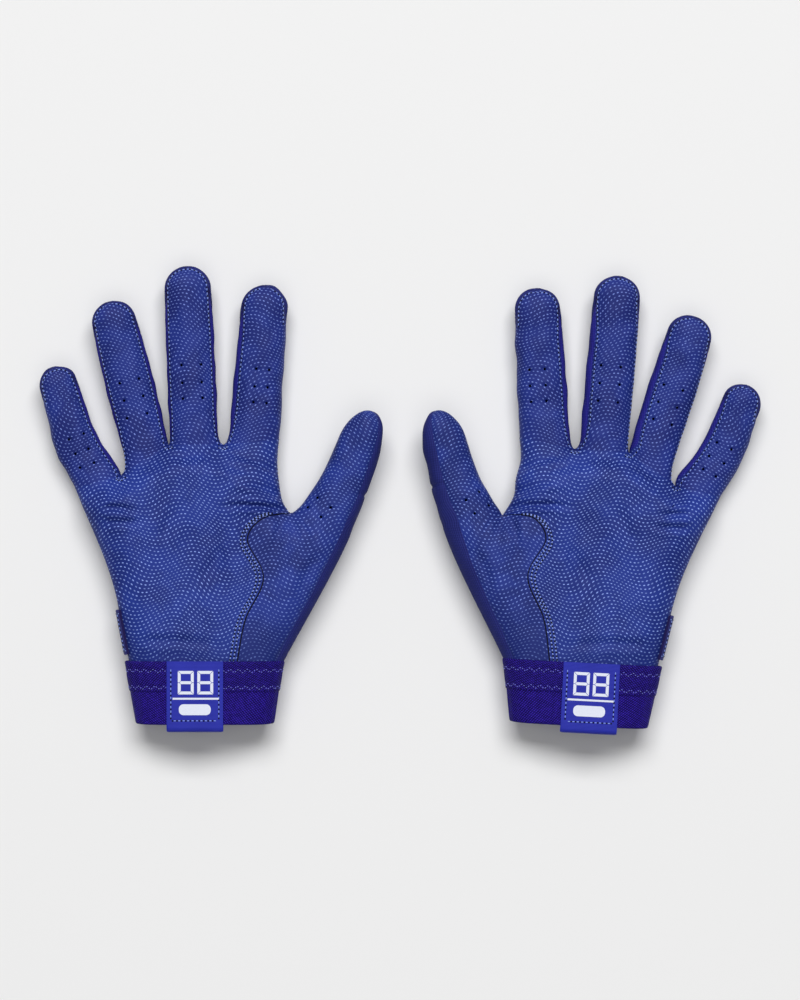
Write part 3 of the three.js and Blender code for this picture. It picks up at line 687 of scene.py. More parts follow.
def new_object(name: str, data: bpy.types.ID) -> bpy.types.Object:
    """Adds an object to the scene.

    Args:
        name: its name.
        data: what it shows.

    Returns:
        The new object.
    """
    made = bpy.data.objects.new(name, data)
    bpy.context.scene.collection.objects.link(made)
    return made


def report(made: bpy.types.Object) -> None:
    """Logs a piece and how many faces it has."""
    LOG.info("%s: %d faces", made.name, len(made.data.polygons))


def stand_in(made: bpy.types.Object, solid: str) -> None:
    """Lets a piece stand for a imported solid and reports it.

    Args:
        made: the piece.
        solid: the solid's name.
    """
    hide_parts(solid)
    report(made)


@dataclass
class Draft:
    """A mesh in the making: corners, faces, cloth places, finishes and normals."""

    points: list[Array] = field(default_factory=list)
    faces: list[Sequence[int]] = field(default_factory=list)
    cloth: list[Array] = field(default_factory=list)
    kinds: list[int] = field(default_factory=list)
    normals: list[Array | None] = field(default_factory=list)
    count: int = 0

    def add(self, points: Array, faces: Sequence[Sequence[int]], cloth: Sequence[Array], kind: int = 0,
            normals: Sequence[Array] | None = None) -> None:
        """Adds corners and the faces between them.

        Args:
            points: the corners.
            faces: corner numbers of each face, from 0 for these corners.
            cloth: for each face its corners' places on the cloth, in millimetres.
            kind: the faces' place in the list of finishes.
            normals: for each face its corners' normals, if they are given.
        """
        first = self.count
        self.points.append(points)
        self.count += len(points)
        self.add_faces([[first + i for i in face] for face in faces], cloth, kind, normals)

    def add_faces(self, faces: Sequence[Sequence[int]], cloth: Sequence[Array], kind: int,
                  normals: Sequence[Array] | None = None) -> None:
        """Adds faces between corners that are there.

        Args:
            faces: corner numbers of each face, in the whole mesh.
            cloth: for each face its corners' places on the cloth, in millimetres.
            kind: the faces' place in the list of finishes.
            normals: for each face its corners' normals, if they are given.
        """
        self.faces.extend(faces)
        self.cloth.extend(cloth)
        self.kinds.extend([kind] * len(faces))
        self.normals.extend(normals if normals is not None else [None] * len(faces))

    def to_object(self, name: str, place: Placement, finishes: Sequence[Finish],
                  smooth: bool = True) -> bpy.types.Object:
        """Makes the mesh object in the table's frame, in metres.

        Args:
            name: the object's name, without the glove's prefix.
            place: where the glove lies.
            finishes: the finishes that the faces' kinds refer to.
            smooth: whether the faces are shaded as one round surface.

        Returns:
            The new object.
        """
        full = f"{place.prefix}_{name}_skin"
        points = place.world(np.concatenate(self.points))
        step = -1 if place.mirrored else 1
        faces = [list(face)[::step] for face in self.faces]
        mesh = bpy.data.meshes.new(full)
        mesh.from_pydata(points.tolist(), [], faces)
        for finish in finishes:
            mesh.materials.append(finish.material())
        mesh.polygons.foreach_set("material_index", self.kinds)
        mesh.polygons.foreach_set("use_smooth", [smooth] * len(faces))
        flat = np.concatenate([np.asarray(c, float)[::step] for c in self.cloth]) / CLOTH_UNIT
        mesh.uv_layers.new(name=CLOTH_MAP).data.foreach_set("uv", flat.ravel())
        if all(n is not None for n in self.normals):
            ways = np.concatenate([np.asarray(n, float)[::step] for n in self.normals])
            mesh.normals_split_custom_set(place.ways(ways).tolist())
        return new_object(full, mesh)


@dataclass(frozen=True)
class Hole:
    """A round hole at a corner of a panel's grid."""

    row: int
    column: int
    radius: float


@dataclass
class Patch:
    """A grid of points on the outside of a panel, with their places on the cut cloth."""

    name: str
    points: Array
    cloth: Array
    flipped: bool = False
    wall: float = LEATHER_WALL
    normals: Array | None = None
    skirt: Array | None = None
    angles: Array | None = None
    runs: Array | None = None
    holes: list[Hole] = field(default_factory=list)

    ROOM = 2.02

    def face_normals(self) -> Array:
        """Returns the outward area normals of the grid's quads."""
        p = self.points
        ways = np.cross(p[1:, 1:] - p[:-1, :-1], p[1:, :-1] - p[:-1, 1:])
        return -ways if self.flipped else ways

    def move(self, amount: Array) -> None:
        """Moves the points out along their normals."""
        self.points = self.points + self.normals * amount[..., None]

    def inset(self, edge: Edge, distance: float, rows: slice = slice(None)) -> tuple[Array, Array]:
        """Follows an edge at a distance inside it.

        Args:
            edge: the edge that is followed.
            distance: how far inside it the line runs, along the surface.
            rows: the rows it runs over.

        Returns:
            The line's points and its normals.
        """
        step = 1 if edge is Edge.FIRST_COLUMN else -1
        points, normals = [], []
        for line, ways in zip(self.points[rows, ::step], self.normals[rows, ::step]):
            run = arc_lengths(line)
            if run[-1] >= self.ROOM * distance:
                points.append(values_at(distance, run, line))
                normals.append(values_at(distance, run, ways))
        return np.array(points), unit(np.array(normals))

    def along_angles(self, targets: Array, rows: slice) -> tuple[Array, Array]:
        """Follows an angle round a finger, row by row.

        Args:
            targets: the angle in each row.
            rows: the rows it runs over.

        Returns:
            The line's points and its normals.
        """
        lines = []
        for values in (self.points, self.normals):
            each = zip(targets[rows], self.angles[rows], values[rows])
            lines.append(np.array([values_at(-target, -angles, line) for target, angles, line in each]))
        return lines[0], unit(lines[1])

    def nearest(self, place: Array) -> tuple[int, int]:
        """Finds the grid's point that is closest to a place in the plan.

        Args:
            place: the place.

        Returns:
            The point's row and column.
        """
        far = np.linalg.norm(self.points[..., :2] - place, axis=-1)
        row, column = np.unravel_index(np.argmin(far), far.shape)
        return int(row), int(column)


def quad_corners(grid: Array) -> tuple[Array, Array, Array, Array]:
    """Returns the corners of a grid's quads, in order round them."""
    return grid[:-1, :-1], grid[:-1, 1:], grid[1:, 1:], grid[1:, :-1]


def share_normals(patches: Sequence[Patch]) -> None:
    """Gives panels that meet along an edge one set of normals there.

    Args:
        patches: the panels.
    """
    points = np.concatenate([p.points.reshape(-1, 3) for p in patches])
    keys = np.round(points * SHARED_GRAIN).astype(np.int64)
    ids = np.unique(keys, axis=0, return_inverse=True)[1].reshape(-1)
    ends = np.cumsum([p.points[..., 0].size for p in patches])[:-1]
    grids = [part.reshape(p.points.shape[:2]) for part, p in zip(np.split(ids, ends), patches)]
    sums = np.zeros((ids.max() + 1, 3))
    for patch, grid in zip(patches, grids):
        ways = patch.face_normals().reshape(-1, 3)
        for corner in quad_corners(grid):
            np.add.at(sums, corner.reshape(-1), ways)
    sums = unit(sums)
    for patch, grid in zip(patches, grids):
        patch.normals = sums[grid]


class Shell:
    """The closed mesh of one panel: its outside, its inside and the cut edge round it."""

    HOLE_BLOCK = 2
    HOLE_DIP = 0.22
    HOLE_LEAN = 0.75

    def __init__(self, patch: Patch) -> None:
        """Lists the panel's corners and quads, with its holes cut.

        Args:
            patch: the panel.
        """
        self.patch = patch
        rows, columns = patch.points.shape[:2]
        self.points = list(patch.points.reshape(-1, 3))
        self.normals = list(patch.normals.reshape(-1, 3))
        self.cloth = list(patch.cloth.reshape(-1, 2))
        skirt = patch.skirt if patch.skirt is not None else np.zeros_like(patch.points)
        self.skirt = list(skirt.reshape(-1, 3))
        grid = np.arange(rows * columns).reshape(rows, columns)
        keep = np.ones((rows - 1, columns - 1), bool)
        quads: list[list[int]] = []
        for hole in patch.holes:
            r, c, b = hole.row, hole.column, self.HOLE_BLOCK
            keep[r - b:r + b, c - b:c + b] = False
            quads.extend(self.hole_ring(grid[r - b:r + b + 1, c - b:c + b + 1], hole.radius))
        quads.extend(np.stack(quad_corners(grid), axis=-1)[keep].tolist())
        self.quads = [q[::-1] for q in quads] if patch.flipped else quads
        self.weld()

    def hole_ring(self, block: Array, radius: float) -> list[list[int]]:
        """Adds a round hole's corners inside a square block of the grid.

        Args:
            block: the block's corner numbers.
            radius: the hole's radius.

        Returns:
            The quads between the block's outline and the hole.
        """
        last = len(block) - 1
        rim = [*block[0, :last], *block[:last, last], *block[last, last:0:-1], *block[last:0:-1, 0]]
        middle = block[last // 2, last // 2]
        centre, way = self.points[middle], self.normals[middle]
        first, count = len(self.points), len(rim)
        for i in rim:
            spoke = self.points[i] - centre
            share = radius / np.linalg.norm(spoke)
            self.points.append(centre + spoke * share - way * self.HOLE_DIP)
            self.normals.append(unit(way - unit(spoke) * self.HOLE_LEAN))
            self.cloth.append(lerp(self.cloth[middle], self.cloth[i], share))
            self.skirt.append(np.zeros(3))
        nexts = [(k + 1) % count for k in range(count)]
        return [[int(rim[k]), int(rim[n]), first + n, first + k] for k, n in enumerate(nexts)]

    def weld(self) -> None:
        """Joins corners that lie together and drops what that leaves without area."""
        keys = np.round(np.array(self.points) * WELD_GRAIN).astype(np.int64)
        _, firsts, ids = np.unique(keys, axis=0, return_index=True, return_inverse=True)
        ids = ids.reshape(-1)
        self.faces = []
        for quad in self.quads:
            ring = [(int(firsts[ids[i]]), i) for i in quad]
            kept = [pair for k, pair in enumerate(ring) if pair[0] != ring[k - 1][0]]
            if len(kept) > 2:
                self.faces.append(kept)

    def draft(self) -> Draft:
        """Makes the mesh: the outside is kind 0, the inside and the cut edge are kind 1.

        Returns:
            The mesh in the making.
        """
        made = Draft()
        used = sorted({first for face in self.faces for first, _ in face})
        place = {i: k for k, i in enumerate(used)}
        count, cloth, normals = len(used), np.array(self.cloth), np.array(self.normals)
        outer = np.array(self.points)[used]
        inner = outer - normals[used] * self.patch.wall + np.array(self.skirt)[used]
        both = np.concatenate([outer, inner])
        outside = [[place[i] for i, _ in face] for face in self.faces]
        by_corner = [[cloth[j] for _, j in face] for face in self.faces]
        made.add(both, outside, by_corner, 0, [[normals[i] for i, _ in face] for face in self.faces])
        flat, ways = cloth[used], normals[used]
        backs = [[i + count for i in face[::-1]] for face in outside]
        back_cloth = [[flat[i - count] for i in face] for face in backs]
        back_ways = [[-ways[i - count] for i in face] for face in backs]
        sides = self.rims(outside)
        rims = [[a, a + count, b + count, b] for a, b in sides]
        rim_cloth = [[flat[a], flat[a], flat[b], flat[b]] for a, b in sides]
        rim_ways = [[unit(np.cross(both[d] - both[a], both[b] - both[c]))] * 4 for a, c, d, b in rims]
        made.add_faces(backs + rims, back_cloth + rim_cloth, 1, back_ways + rim_ways)
        return made

    @staticmethod
    def rims(faces: Sequence[Sequence[int]]) -> list[tuple[int, int]]:
        """Returns the directed edges that only one face has."""
        edges = {(a, b) for face in faces for a, b in zip(face, [*face[1:], face[0]])}
        return [(a, b) for a, b in edges if (b, a) not in edges]


# The hand and its fingers

@dataclass(frozen=True)
class FingerSize:
    """A finger's sizes; lean turns it away from the thumb, in degrees; bow and belly shape its run."""

    name: str
    base_width: float
    tip_width: float
    length: float
    thick: float
    tip_thick: float
    lean: float
    lift: float
    taper: float = 1.0
    swerve: float = 0.0
    tip_round: float = 0.0
    bow: float = 0.0
    belly: float = 0.0


@dataclass(frozen=True)
class Lie:
    """How a finger lies: drawn in towards the palm, turned out, and rolled about its length."""

    draw_in: float = 0.0
    turn_out: float = 0.0
    roll: float = 0.0


class Finger:
    """A finger's smooth outside as a function of the run along it and the angle round it."""

    BOW_RISE = 1.5
    BOW_FALL = 2.5
    BOW_PEAK = 14.1

    def __init__(self, size: FingerSize, root: Pair, table_gap: float, lie: Lie) -> None:
        """Places the finger in the glove's frame.

        Args:
            size: the finger's sizes.
            root: the middle of its root line.
            table_gap: the height of its underside.
            lie: how it lies.
        """
        self.size, self.lie, self.name = size, lie, size.name
        self.root = np.array(root, float)
        turn = math.radians(size.lean + lie.turn_out)
        self.along = np.array([-math.sin(turn), math.cos(turn)])
        self.across = np.array([math.cos(turn), math.sin(turn)])
        self.level = table_gap + size.thick / 2
        self.length = size.length - lie.draw_in
        self.tip_round = size.tip_round or size.tip_width / 2
        self.body = self.length - self.tip_round
        self.end = self.body + self.tip_round * QUARTER

    def half_width(self, run: Array) -> Array:
        """Finds half the finger's width; over the tip it stays that of the tip's start.

        Args:
            run: ways along the finger.

        Returns:
            The half widths.
        """
        size = self.size
        base = np.clip(np.minimum(run, self.body), 0, None) / self.length
        straight = lerp(size.tip_width, size.base_width, (1 - base) ** size.taper) / 2
        return straight + size.belly * np.sin(math.pi * base)

    def root_edge(self, side: int) -> Array:
        """Returns the end of the root line: -1 away from the thumb, 1 towards it."""
        return self.root + self.across * (side * self.size.base_width / 2)

    def surface(self, run: Array, angle: Array) -> Array:
        """Gives points of the outside.

        Args:
            run: the way along the finger and over its tip, from the root line.
            angle: round it from its thumb side over the palm side, in radians.

        Returns:
            Points in the glove's frame.
        """
        size = self.size
        turn = np.clip((run - self.body) / self.tip_round, 0, QUARTER)
        straight = np.minimum(run, self.body)
        s = straight + self.tip_round * np.sin(turn)
        base = np.clip(straight, 0, None) / self.length
        t = np.clip(s, 0, None) / self.length
        w = self.half_width(run) * np.cos(turn)
        h = lerp(size.thick, size.tip_thick, base) / 2 * np.cos(turn)
        bow = size.bow * self.BOW_PEAK * t ** self.BOW_RISE * (1 - t) ** self.BOW_FALL
        x = size.swerve * t ** 3 + bow + w * power(np.cos(angle))
        z = self.level + size.lift * t ** 2 + h * power(np.sin(angle))
        return raised(self.root + x[..., None] * self.across + s[..., None] * self.along, z)


class Sleeve:
    """A finger's outside led smoothly out of the hand's root line."""

    NECK = 15.0
    NECK_ROWS = 16
    WEB_REACH = 0.42
    BODY_STEP = 0.95
    TIP_ROWS = 12
    CAP_ROWS = 6
    SEAM_INSET = 0.85
    TIP_LIMIT = QUARTER * 0.999

    def __init__(self, finger: Finger, angles: Array, root: Array) -> None:
        """Measures how the root line differs from the finger's own section.

        Args:
            finger: the finger.
            angles: angles round it of the root line's points.
            root: the root line's points.
        """
        self.finger = finger
        self.angles = angles
        self.starts = (root[:, :2] - finger.root) @ finger.along
        self.leads = root - finger.surface(self.starts, angles)
        self.first = float(self.starts.max())
        self.neck = self.first + self.NECK
        self.turned: Callable[[Array], Array] = np.zeros_like

    def start(self, angle: Array) -> Array:
        """Returns the run of the root line at angles."""
        return np.interp(angle, self.angles, self.starts, period=TURN)

    def point(self, run: Array, angle: Array) -> Array:
        """Finds points of the outside in the glove's frame.

        Args:
            run: ways along the finger.
            angle: angles round it.

        Returns:
            The points.
        """
        leads = [np.interp(angle, self.angles, lead, period=TURN) for lead in self.leads.T]
        lead = np.stack(leads, axis=-1)
        start = self.start(angle)
        share = (run - start) / (self.neck - start)
        near = 1 - np.clip(share / self.WEB_REACH, 0, 1)
        level = 1 - smoothstep(share, 0, 1)
        plan = lerp(level, 1 - np.sqrt(1 - near ** 2), np.abs(np.cos(angle)) ** 3)
        return self.finger.surface(run, angle) + lead * np.stack([plan, plan, level], axis=-1)

    def seam_end(self) -> float:
        """Returns the run at which the seam crosses over the tip."""
        radius = self.finger.tip_round
        return self.finger.body + radius * math.asin((radius - self.SEAM_INSET) / radius)

    def seam_angle(self, run: Array, inset: float = SEAM_INSET) -> Array:
        """Follows a line that keeps one distance inside the finger's outline, tip included.

        Args:
            run: ways along the finger.
            inset: the distance.

        Returns:
            The line's angles.
        """
        finger = self.finger
        turn = np.clip((run - finger.body) / finger.tip_round, 0, self.TIP_LIMIT)
        wide = finger.half_width(run)
        reach = finger.tip_round * np.sin(turn) / (finger.tip_round - inset)
        x = (wide - inset) * np.sqrt(np.clip(1 - reach ** 2, 0, 1))
        return np.arccos(np.clip(x / (wide * np.cos(turn)), 0, 1) ** (1 / SECTION_POWER))

    def panel(self, name: str, limits: Callable[[Array], tuple[Array, Array]], columns: int,
              capped: bool = True) -> Patch:
        """Makes a panel that goes part of the way round the finger.

        Args:
            name: the panel's name.
            limits: gives the panel's first and last angle at runs along the finger.
            columns: steps across it.
            capped: whether it goes on to the finger's end, past the seam over the tip.

        Returns:
            The panel, its outside facing out.
        """
        finger = self.finger
        necks = np.linspace(0, 1, self.NECK_ROWS + 1)[:-1]
        steps = max(2, round((finger.body - self.neck) / self.BODY_STEP))
        body = np.linspace(self.neck, finger.body, steps + 1)[:-1]
        tip = np.linspace(finger.body, self.seam_end(), self.TIP_ROWS + 1)
        cap = np.linspace(self.seam_end(), finger.end, self.CAP_ROWS + 1)[1:]
        runs = np.concatenate([lerp(self.first, self.neck, necks), body, tip, cap if capped else []])
        first, last = limits(runs)
        shares = np.linspace(0, 1, columns + 1)
        angle = lerp(first[:, None], last[:, None], shares[None, :])
        run = np.repeat(runs[:, None], columns + 1, axis=1)
        count = len(necks)
        start = self.start(angle[:count])
        run[:count] = lerp(start, self.neck, necks[:, None])
        points = self.point(run, angle)
        return Patch(name, points, self.cloth(points, run, angle), angles=angle, runs=runs)

    def cloth(self, points: Array, run: Array, angle: Array) -> Array:
        """Lays a panel out flat: by the plan at the root, by lengths along it further on.

        Args:
            points: the panel's points.
            run: their ways along the finger.
            angle: their angles round it.

        Returns:
            Places on the cut cloth.
        """
        finger, arc = self.finger, row_lengths(points)
        middle = np.argmin(np.abs(angle - QUARTER), axis=1)
        arc = arc - np.take_along_axis(arc, middle[:, None], axis=1)
        plan = (points[..., :2] - finger.root) @ finger.across
        fade = smoothstep(run, self.first, self.neck)
        u = lerp(plan, arc, fade)
        return finger.root + u[..., None] * finger.across + run[..., None] * finger.along


@dataclass(frozen=True)
class Crease:
    """A fold in the leather: a valley with a soft ridge on both sides."""

    start: Pair
    end: Pair
    depth: float
    width: float
    bow: float = 0.0

    BEGINS = (-0.05, 0.15)
    ENDS = (0.4, 1.05)
    RIDGE_PLACE = 1.9
    RIDGE_HEIGHT = 0.6

    def height(self, plan: Array) -> Array:
        """Finds how far the fold moves the leather out.

        Args:
            plan: places of the plan.

        Returns:
            The heights.
        """
        a, b = np.array(self.start), np.array(self.end)
        length = np.linalg.norm(b - a)
        way = (b - a) / length
        t = (plan - a) @ way / length
        off = (plan - a) @ np.array([-way[1], way[0]]) - self.bow * 4 * t * (1 - t)
        strength = self.depth * smoothstep(t, *self.BEGINS) * (1 - smoothstep(t, *self.ENDS))
        ridge = bell(np.abs(off) - self.RIDGE_PLACE * self.width, self.width)
        return strength * (self.RIDGE_HEIGHT * ridge - bell(off, self.width))


@dataclass(frozen=True)
class Pad:
    """A soft rise or hollow of the hand inside the glove."""

    centre: Pair
    reach: Pair
    height: float

    def rise(self, plan: Array) -> Array:
        """Returns how far the pad moves places of the plan out."""
        share = (plan - np.array(self.centre)) / np.array(self.reach)
        return self.height * np.exp(-(share ** 2).sum(axis=-1))


FINGER_SIZES = (
    FingerSize("little", 23, 17.6, 58, 17, 14, 22, 4, bow=-2.6),
    FingerSize("ring", 22, 20.4, 70.5, 18, 15.5, 14, 4, belly=1.0),
    FingerSize("middle", 23, 21.6, 82.5, 18.5, 16, 2.4, 3, belly=0.5),
    FingerSize("index", 24, 21, 73.5, 18, 16, -4.6, 3, belly=0.5),
)
THUMB_SIZE = FingerSize("thumb", 28.5, 20, 59.5, 21, 15, -23.5, 6, 2.6, 0.8, 19, 1.7, 0.5)


@dataclass(frozen=True)
class HandSize:
    """The hand's sizes: its palm, its wrist, its webs and the lines of its seams."""

    length: float = 107.0
    level: float = 13.5
    rise: float = 12.5
    rest_flat: float = 0.5
    edge_round: float = 16.0
    web_slope: float = 15.0
    wrist_width: float = 73.0
    wrist_rise: float = 10.5
    wrist_back: float = 4.2
    wrist_end: float = 37.13
    wrist_ease: float = 24.0
    flare: float = math.radians(11)
    knee: float = 28.0
    ulnar_pull: float = 0.33
    thenar_pull: float = 0.52
    thenar_flare: float = 1.6
    middle_x: float = -5.3
    webs: tuple[float, float, float] = (0.3, 1.2, 5.3)
    drops: tuple[float, float, float, float] = (20.0, 3.0, 0.0, 0.0)
    table_gap: float = 0.4
    thumb_root: Pair = (56.6, 65.2)
    seam: tuple[Pair, ...] = ((14.7, 0.0), (18.7, 20.4), (27.3, 40.0), (19.6, 58.0), (27.0, 69.0))
    back_seam_x: float = 20.0
    web_row_rise: float = 15.0
    web_step: float = 3.2
    web_drops: tuple[float, float, float] = (2.5, 2.9, 3.9)
    thumb_web_shift: Pair = (-2.8, -0.2)
    index_dip: float = 10.0
    radial_edge: tuple[Pair, ...] = ((37.2, 76.4), (35.4, 86.2))
    crotch_share: float = 0.625
    thumb_seam: float = math.radians(47)
    gusset_show: float = 3.5

    @property
    def wrist_level(self) -> float:
        """Returns the height of the wrist's middle."""
        return self.wrist_back + self.wrist_rise


PALM_PADS = (
    Pad((36.0, 38.0), (17.0, 26.0), 1.2),
    Pad((-30.0, 36.0), (15.0, 26.0), 0.8),
    Pad((2.0, 56.0), (16.0, 20.0), -1.9),
    Pad((-34.0, 92.0), (9.0, 8.0), 0.5),
    Pad((-6.0, 96.0), (10.0, 8.0), 0.5),
    Pad((22.0, 94.0), (10.0, 8.0), 0.4),
)
CREASES = (
    Crease((40.5, 71.8), (6.0, 73.5), 1.9, 1.4, -1.5),
    Crease((38.0, 78.0), (8.0, 88.0), 1.3, 1.8, -1.5),
    Crease((36.0, 90.0), (10.0, 99.5), 1.6, 1.7, -1.5),
    Crease((36.0, 96.5), (20.0, 102.0), 1.3, 1.3, 0.5),
    Crease((27.0, 86.0), (2.0, 95.0), 0.8, 2.4, -1.5),
    Crease((9.0, 54.5), (-4.0, 36.0), 0.9, 3.2, 1.5),
    Crease((46.5, 71.5), (53.0, 56.0), 1.7, 1.4, 1.0),
    Crease((38.0, 67.5), (34.0, 43.0), 1.4, 1.7, -1.5),
    Crease((42.0, 68.0), (43.0, 50.0), 1.0, 1.5, 1.0),
    Crease((55.0, 51.0), (45.0, 27.0), 1.0, 2.2, -2.0),
    Crease((-48.5, 73.5), (-29.0, 70.5), 1.2, 1.6, 0.8),
    Crease((-47.5, 66.5), (-25.0, 68.0), 0.9, 1.6, -1.0),
    Crease((-31.0, 9.5), (13.0, 6.5), 0.8, 2.2, 1.5),
    Crease((-38.0, 92.5), (-18.0, 96.0), 0.7, 2.0, -1.0),
    Crease((-16.0, 98.0), (6.0, 99.0), 0.7, 2.0, -1.0),
    Crease((-20.0, 58.0), (-6.0, 80.0), 0.6, 3.0, 2.0),
)


class Hand:
    """The lines of the palm's plan and the height of its two sides."""

    STRIP = 28
    LOW_ROWS = 90
    HIGH_ROWS = 36
    LAP = (-9.0, -6.0, -3.0)
    LAP_SHRINK = 0.99
    THENAR_STEPS = 199
    OUTLINE_STEPS = 80

    def __init__(self, size: HandSize, lies: dict[str, Lie]) -> None:
        """Places the fingers and draws the palm's lines.

        Args:
            size: the hand's sizes.
            lies: how its fingers lie, by name.
        """
        self.size = size
        self.fingers = self.place_fingers(lies)
        self.draw_lines()
        share = self.crotch_share
        self.rows = np.concatenate([
            np.linspace(0, share, self.LOW_ROWS + 1), np.linspace(share, 1, self.HIGH_ROWS + 1)[1:]])
        self.turns = np.linspace(-QUARTER, QUARTER, self.STRIP + 1)

    def place_fingers(self, lies: dict[str, Lie]) -> dict[str, Finger]:
        """Spaces the fingers from the middle one by their widths and webs.

        Args:
            lies: how the fingers lie, by name.

        Returns:
            The fingers by name.
        """
        size = self.size
        little, ring, middle, index = FINGER_SIZES
        spans = [(a.base_width + b.base_width) / 2 + web
                 for a, b, web in zip((little, ring, middle), (ring, middle, index), size.webs)]
        xs = size.middle_x + np.array([-spans[1] - spans[0], -spans[1], 0.0, spans[2]])
        fingers = {
            f.name: Finger(f, (x, size.length - drop), size.table_gap, lies.get(f.name, Lie()))
            for f, x, drop in zip(FINGER_SIZES, xs, size.drops)}
        gap = size.level - THUMB_SIZE.thick / 2
        fingers["thumb"] = Finger(THUMB_SIZE, size.thumb_root, gap, lies.get("thumb", Lie()))
        return fingers

    def draw_lines(self) -> None:
        """Draws the outline, the seams and the rays to the webs."""
        size, half = self.size, self.size.wrist_width / 2
        little, ring, middle, index = self.row_fingers()
        thumb = self.fingers["thumb"]
        self.thumb_web = thumb.root_edge(-1) + size.thumb_web_shift

        flare = np.array([-math.sin(size.flare), math.cos(size.flare)])
        start, end = np.array([-half, 0.0]), little.root_edge(-1)
        knee = start + flare * size.knee
        pull = np.linalg.norm(end - knee) * size.ulnar_pull
        bend = Bezier(np.array([knee, knee + flare * pull, end - little.along * pull, end]))
        knee_share = knee[1] / end[1]

        def ulnar(share: Array) -> Array:
            """Draws the little-finger edge: straight beside the closure, then out to the finger.

            Args:
                share: shares of the way up.

            Returns:
                The edge's points.
            """
            straight = start + (knee - start) * (share / knee_share)[..., None]
            curved = bend.at(np.clip((share - knee_share) / (1 - knee_share), 0, 1))
            return np.where((share < knee_share)[..., None], straight, curved)

        index_edge = index.root_edge(1)
        dip = index_edge - index.along * size.index_dip
        radial = Spline(np.array([self.thumb_web, *size.radial_edge, dip, index_edge], float))
        share = self.crotch_share = size.crotch_share
        self.seam = Joined(np.array([*size.seam, self.thumb_web], float), radial, share)
        back = np.array([(size.back_seam_x, 0.0), self.thumb_web])
        self.back_seam = Joined(back, radial, share)

        thenar_start, thenar_end = np.array([half + size.thenar_flare, 0.0]), thumb.root_edge(1)
        pull = half * size.thenar_pull
        outward = unit(thenar_end - thenar_start)
        self.thenar = Bezier(np.array([
            thenar_start, thenar_start + outward * pull, thenar_end - thumb.along * pull, thenar_end]))
        self.thenar_length = float(arc_lengths(self.thenar.at(np.linspace(0, 1, self.THENAR_STEPS + 1)))[-1])

        pairs = ((little, ring), (ring, middle), (middle, index))
        webs = [self.web(a, b) - [0, drop] for (a, b), drop in zip(pairs, size.web_drops)]
        self.web_row = (self.thumb_web[1] + size.web_row_rise) / webs[2][1]
        starts = [np.array([lerp(-half, size.seam[0][0], k / len(FINGER_SIZES)), 0.0]) for k in (1, 2, 3)]
        rays = [self.ray(a, b) for a, b in zip(starts, webs)]
        self.front = [lambda t: ulnar(self.row_share(t)), *rays, self.seam.at]
        self.back = [self.front[0], *rays, self.back_seam.at]
        shares = np.linspace(0, 1, self.OUTLINE_STEPS + 1)
        above_web = self.seam.at(lerp(self.crotch_share, 1, shares))
        traces = [self.front[0](shares), above_web, self.thenar.at(shares)]
        self.outline = np.concatenate([np.stack([p[:-1], p[1:]], axis=1) for p in traces])

    def ray(self, start: Array, end: Array) -> Callable[[Array], Array]:
        """Returns a straight line of the plan as a function of the rows' parameters."""
        return lambda t: start + (end - start) * self.row_share(t)[..., None]

    def row_fingers(self) -> list[Finger]:
        """Returns the four fingers from the far side to the thumb side."""
        return [self.fingers[f.name] for f in FINGER_SIZES]

    @staticmethod
    def web(a: Finger, b: Finger) -> Array:
        """Returns the web between neighbours: midway across, and as low as the lower root."""
        left, right = a.root_edge(1), b.root_edge(-1)
        return np.array([(left[0] + right[0]) / 2, min(left[1], right[1])])

    def row_share(self, t: Array) -> Array:
        """Finds how far up the hand rows lie; one row ends at the thumb's web.

        Args:
            t: the rows' parameters.

        Returns:
            Shares of the way up.
        """
        t = np.asarray(t, float)
        low = t / self.crotch_share * self.web_row
        high = lerp(self.web_row, 1.0, (t - self.crotch_share) / (1 - self.crotch_share))
        return np.where(t < self.crotch_share, low, high)

    def profile(self, plan: Array) -> Array:
        """Finds how far places lie inside the hand's outline.

        Args:
            plan: places of the plan.

        Returns:
            0 on the outline and 1 where the hand is flat.
        """
        flat = plan.reshape(-1, 2)
        least = np.full(len(flat), np.inf)
        for a, b in self.outline:
            run = b - a
            t = np.clip((flat - a) @ run / (run @ run), 0, 1)
            least = np.minimum(least, np.linalg.norm(flat - a - t[:, None] * run, axis=1))
        t = np.minimum(least / self.size.edge_round, 1)
        return np.sqrt(1 - (1 - t) ** 2).reshape(plan.shape[:-1])

    def height(self, plan: Array, side: int) -> Array:
        """Finds the height of the palm or the back.

        Args:
            plan: places of the plan.
            side: 1 for the palm, -1 for the back.

        Returns:
            The heights.
        """
        size = self.size
        ease = smoothstep(plan[..., 1], size.wrist_end, size.wrist_end + size.wrist_ease)
        level = lerp(size.wrist_level, size.level, ease)
        reach = lerp(size.wrist_rise, size.rise if side > 0 else size.level + size.rest_flat, ease)
        return np.maximum(level + side * reach * self.profile(plan), 0)

    def strip(self, start: Array, end: Array, root: tuple[Array | float, Array | float], turns: Array,
              side: int, settle: Array, fill: Array | float = 0.0) -> Array:
        """Makes a grid of points between two lines of the plan.

        Args:
            start: the first line's points, a row each.
            end: the last line's points.
            root: level and half thickness of the root that the strip leads to, at each turn if they vary.
            turns: angles across the strip, from the first line to the last, for all rows or for each.
            side: 1 for the palm, -1 for the back.
            settle: for each row how far it has taken the finger's section.
            fill: how far the section's sides are filled up to its top.

        Returns:
            Points, rows by turns.
        """
        share = ((1 + power(np.sin(turns))) / 2)[..., None]
        plan = start[:, None] + (end - start)[:, None] * share
        full = np.sqrt(lerp(np.cos(turns) ** 2, 1.0, fill))
        level, half = root
        z = lerp(self.height(plan, side), level + side * half * full ** SECTION_POWER, settle[:, None])
        return raised(plan, z)

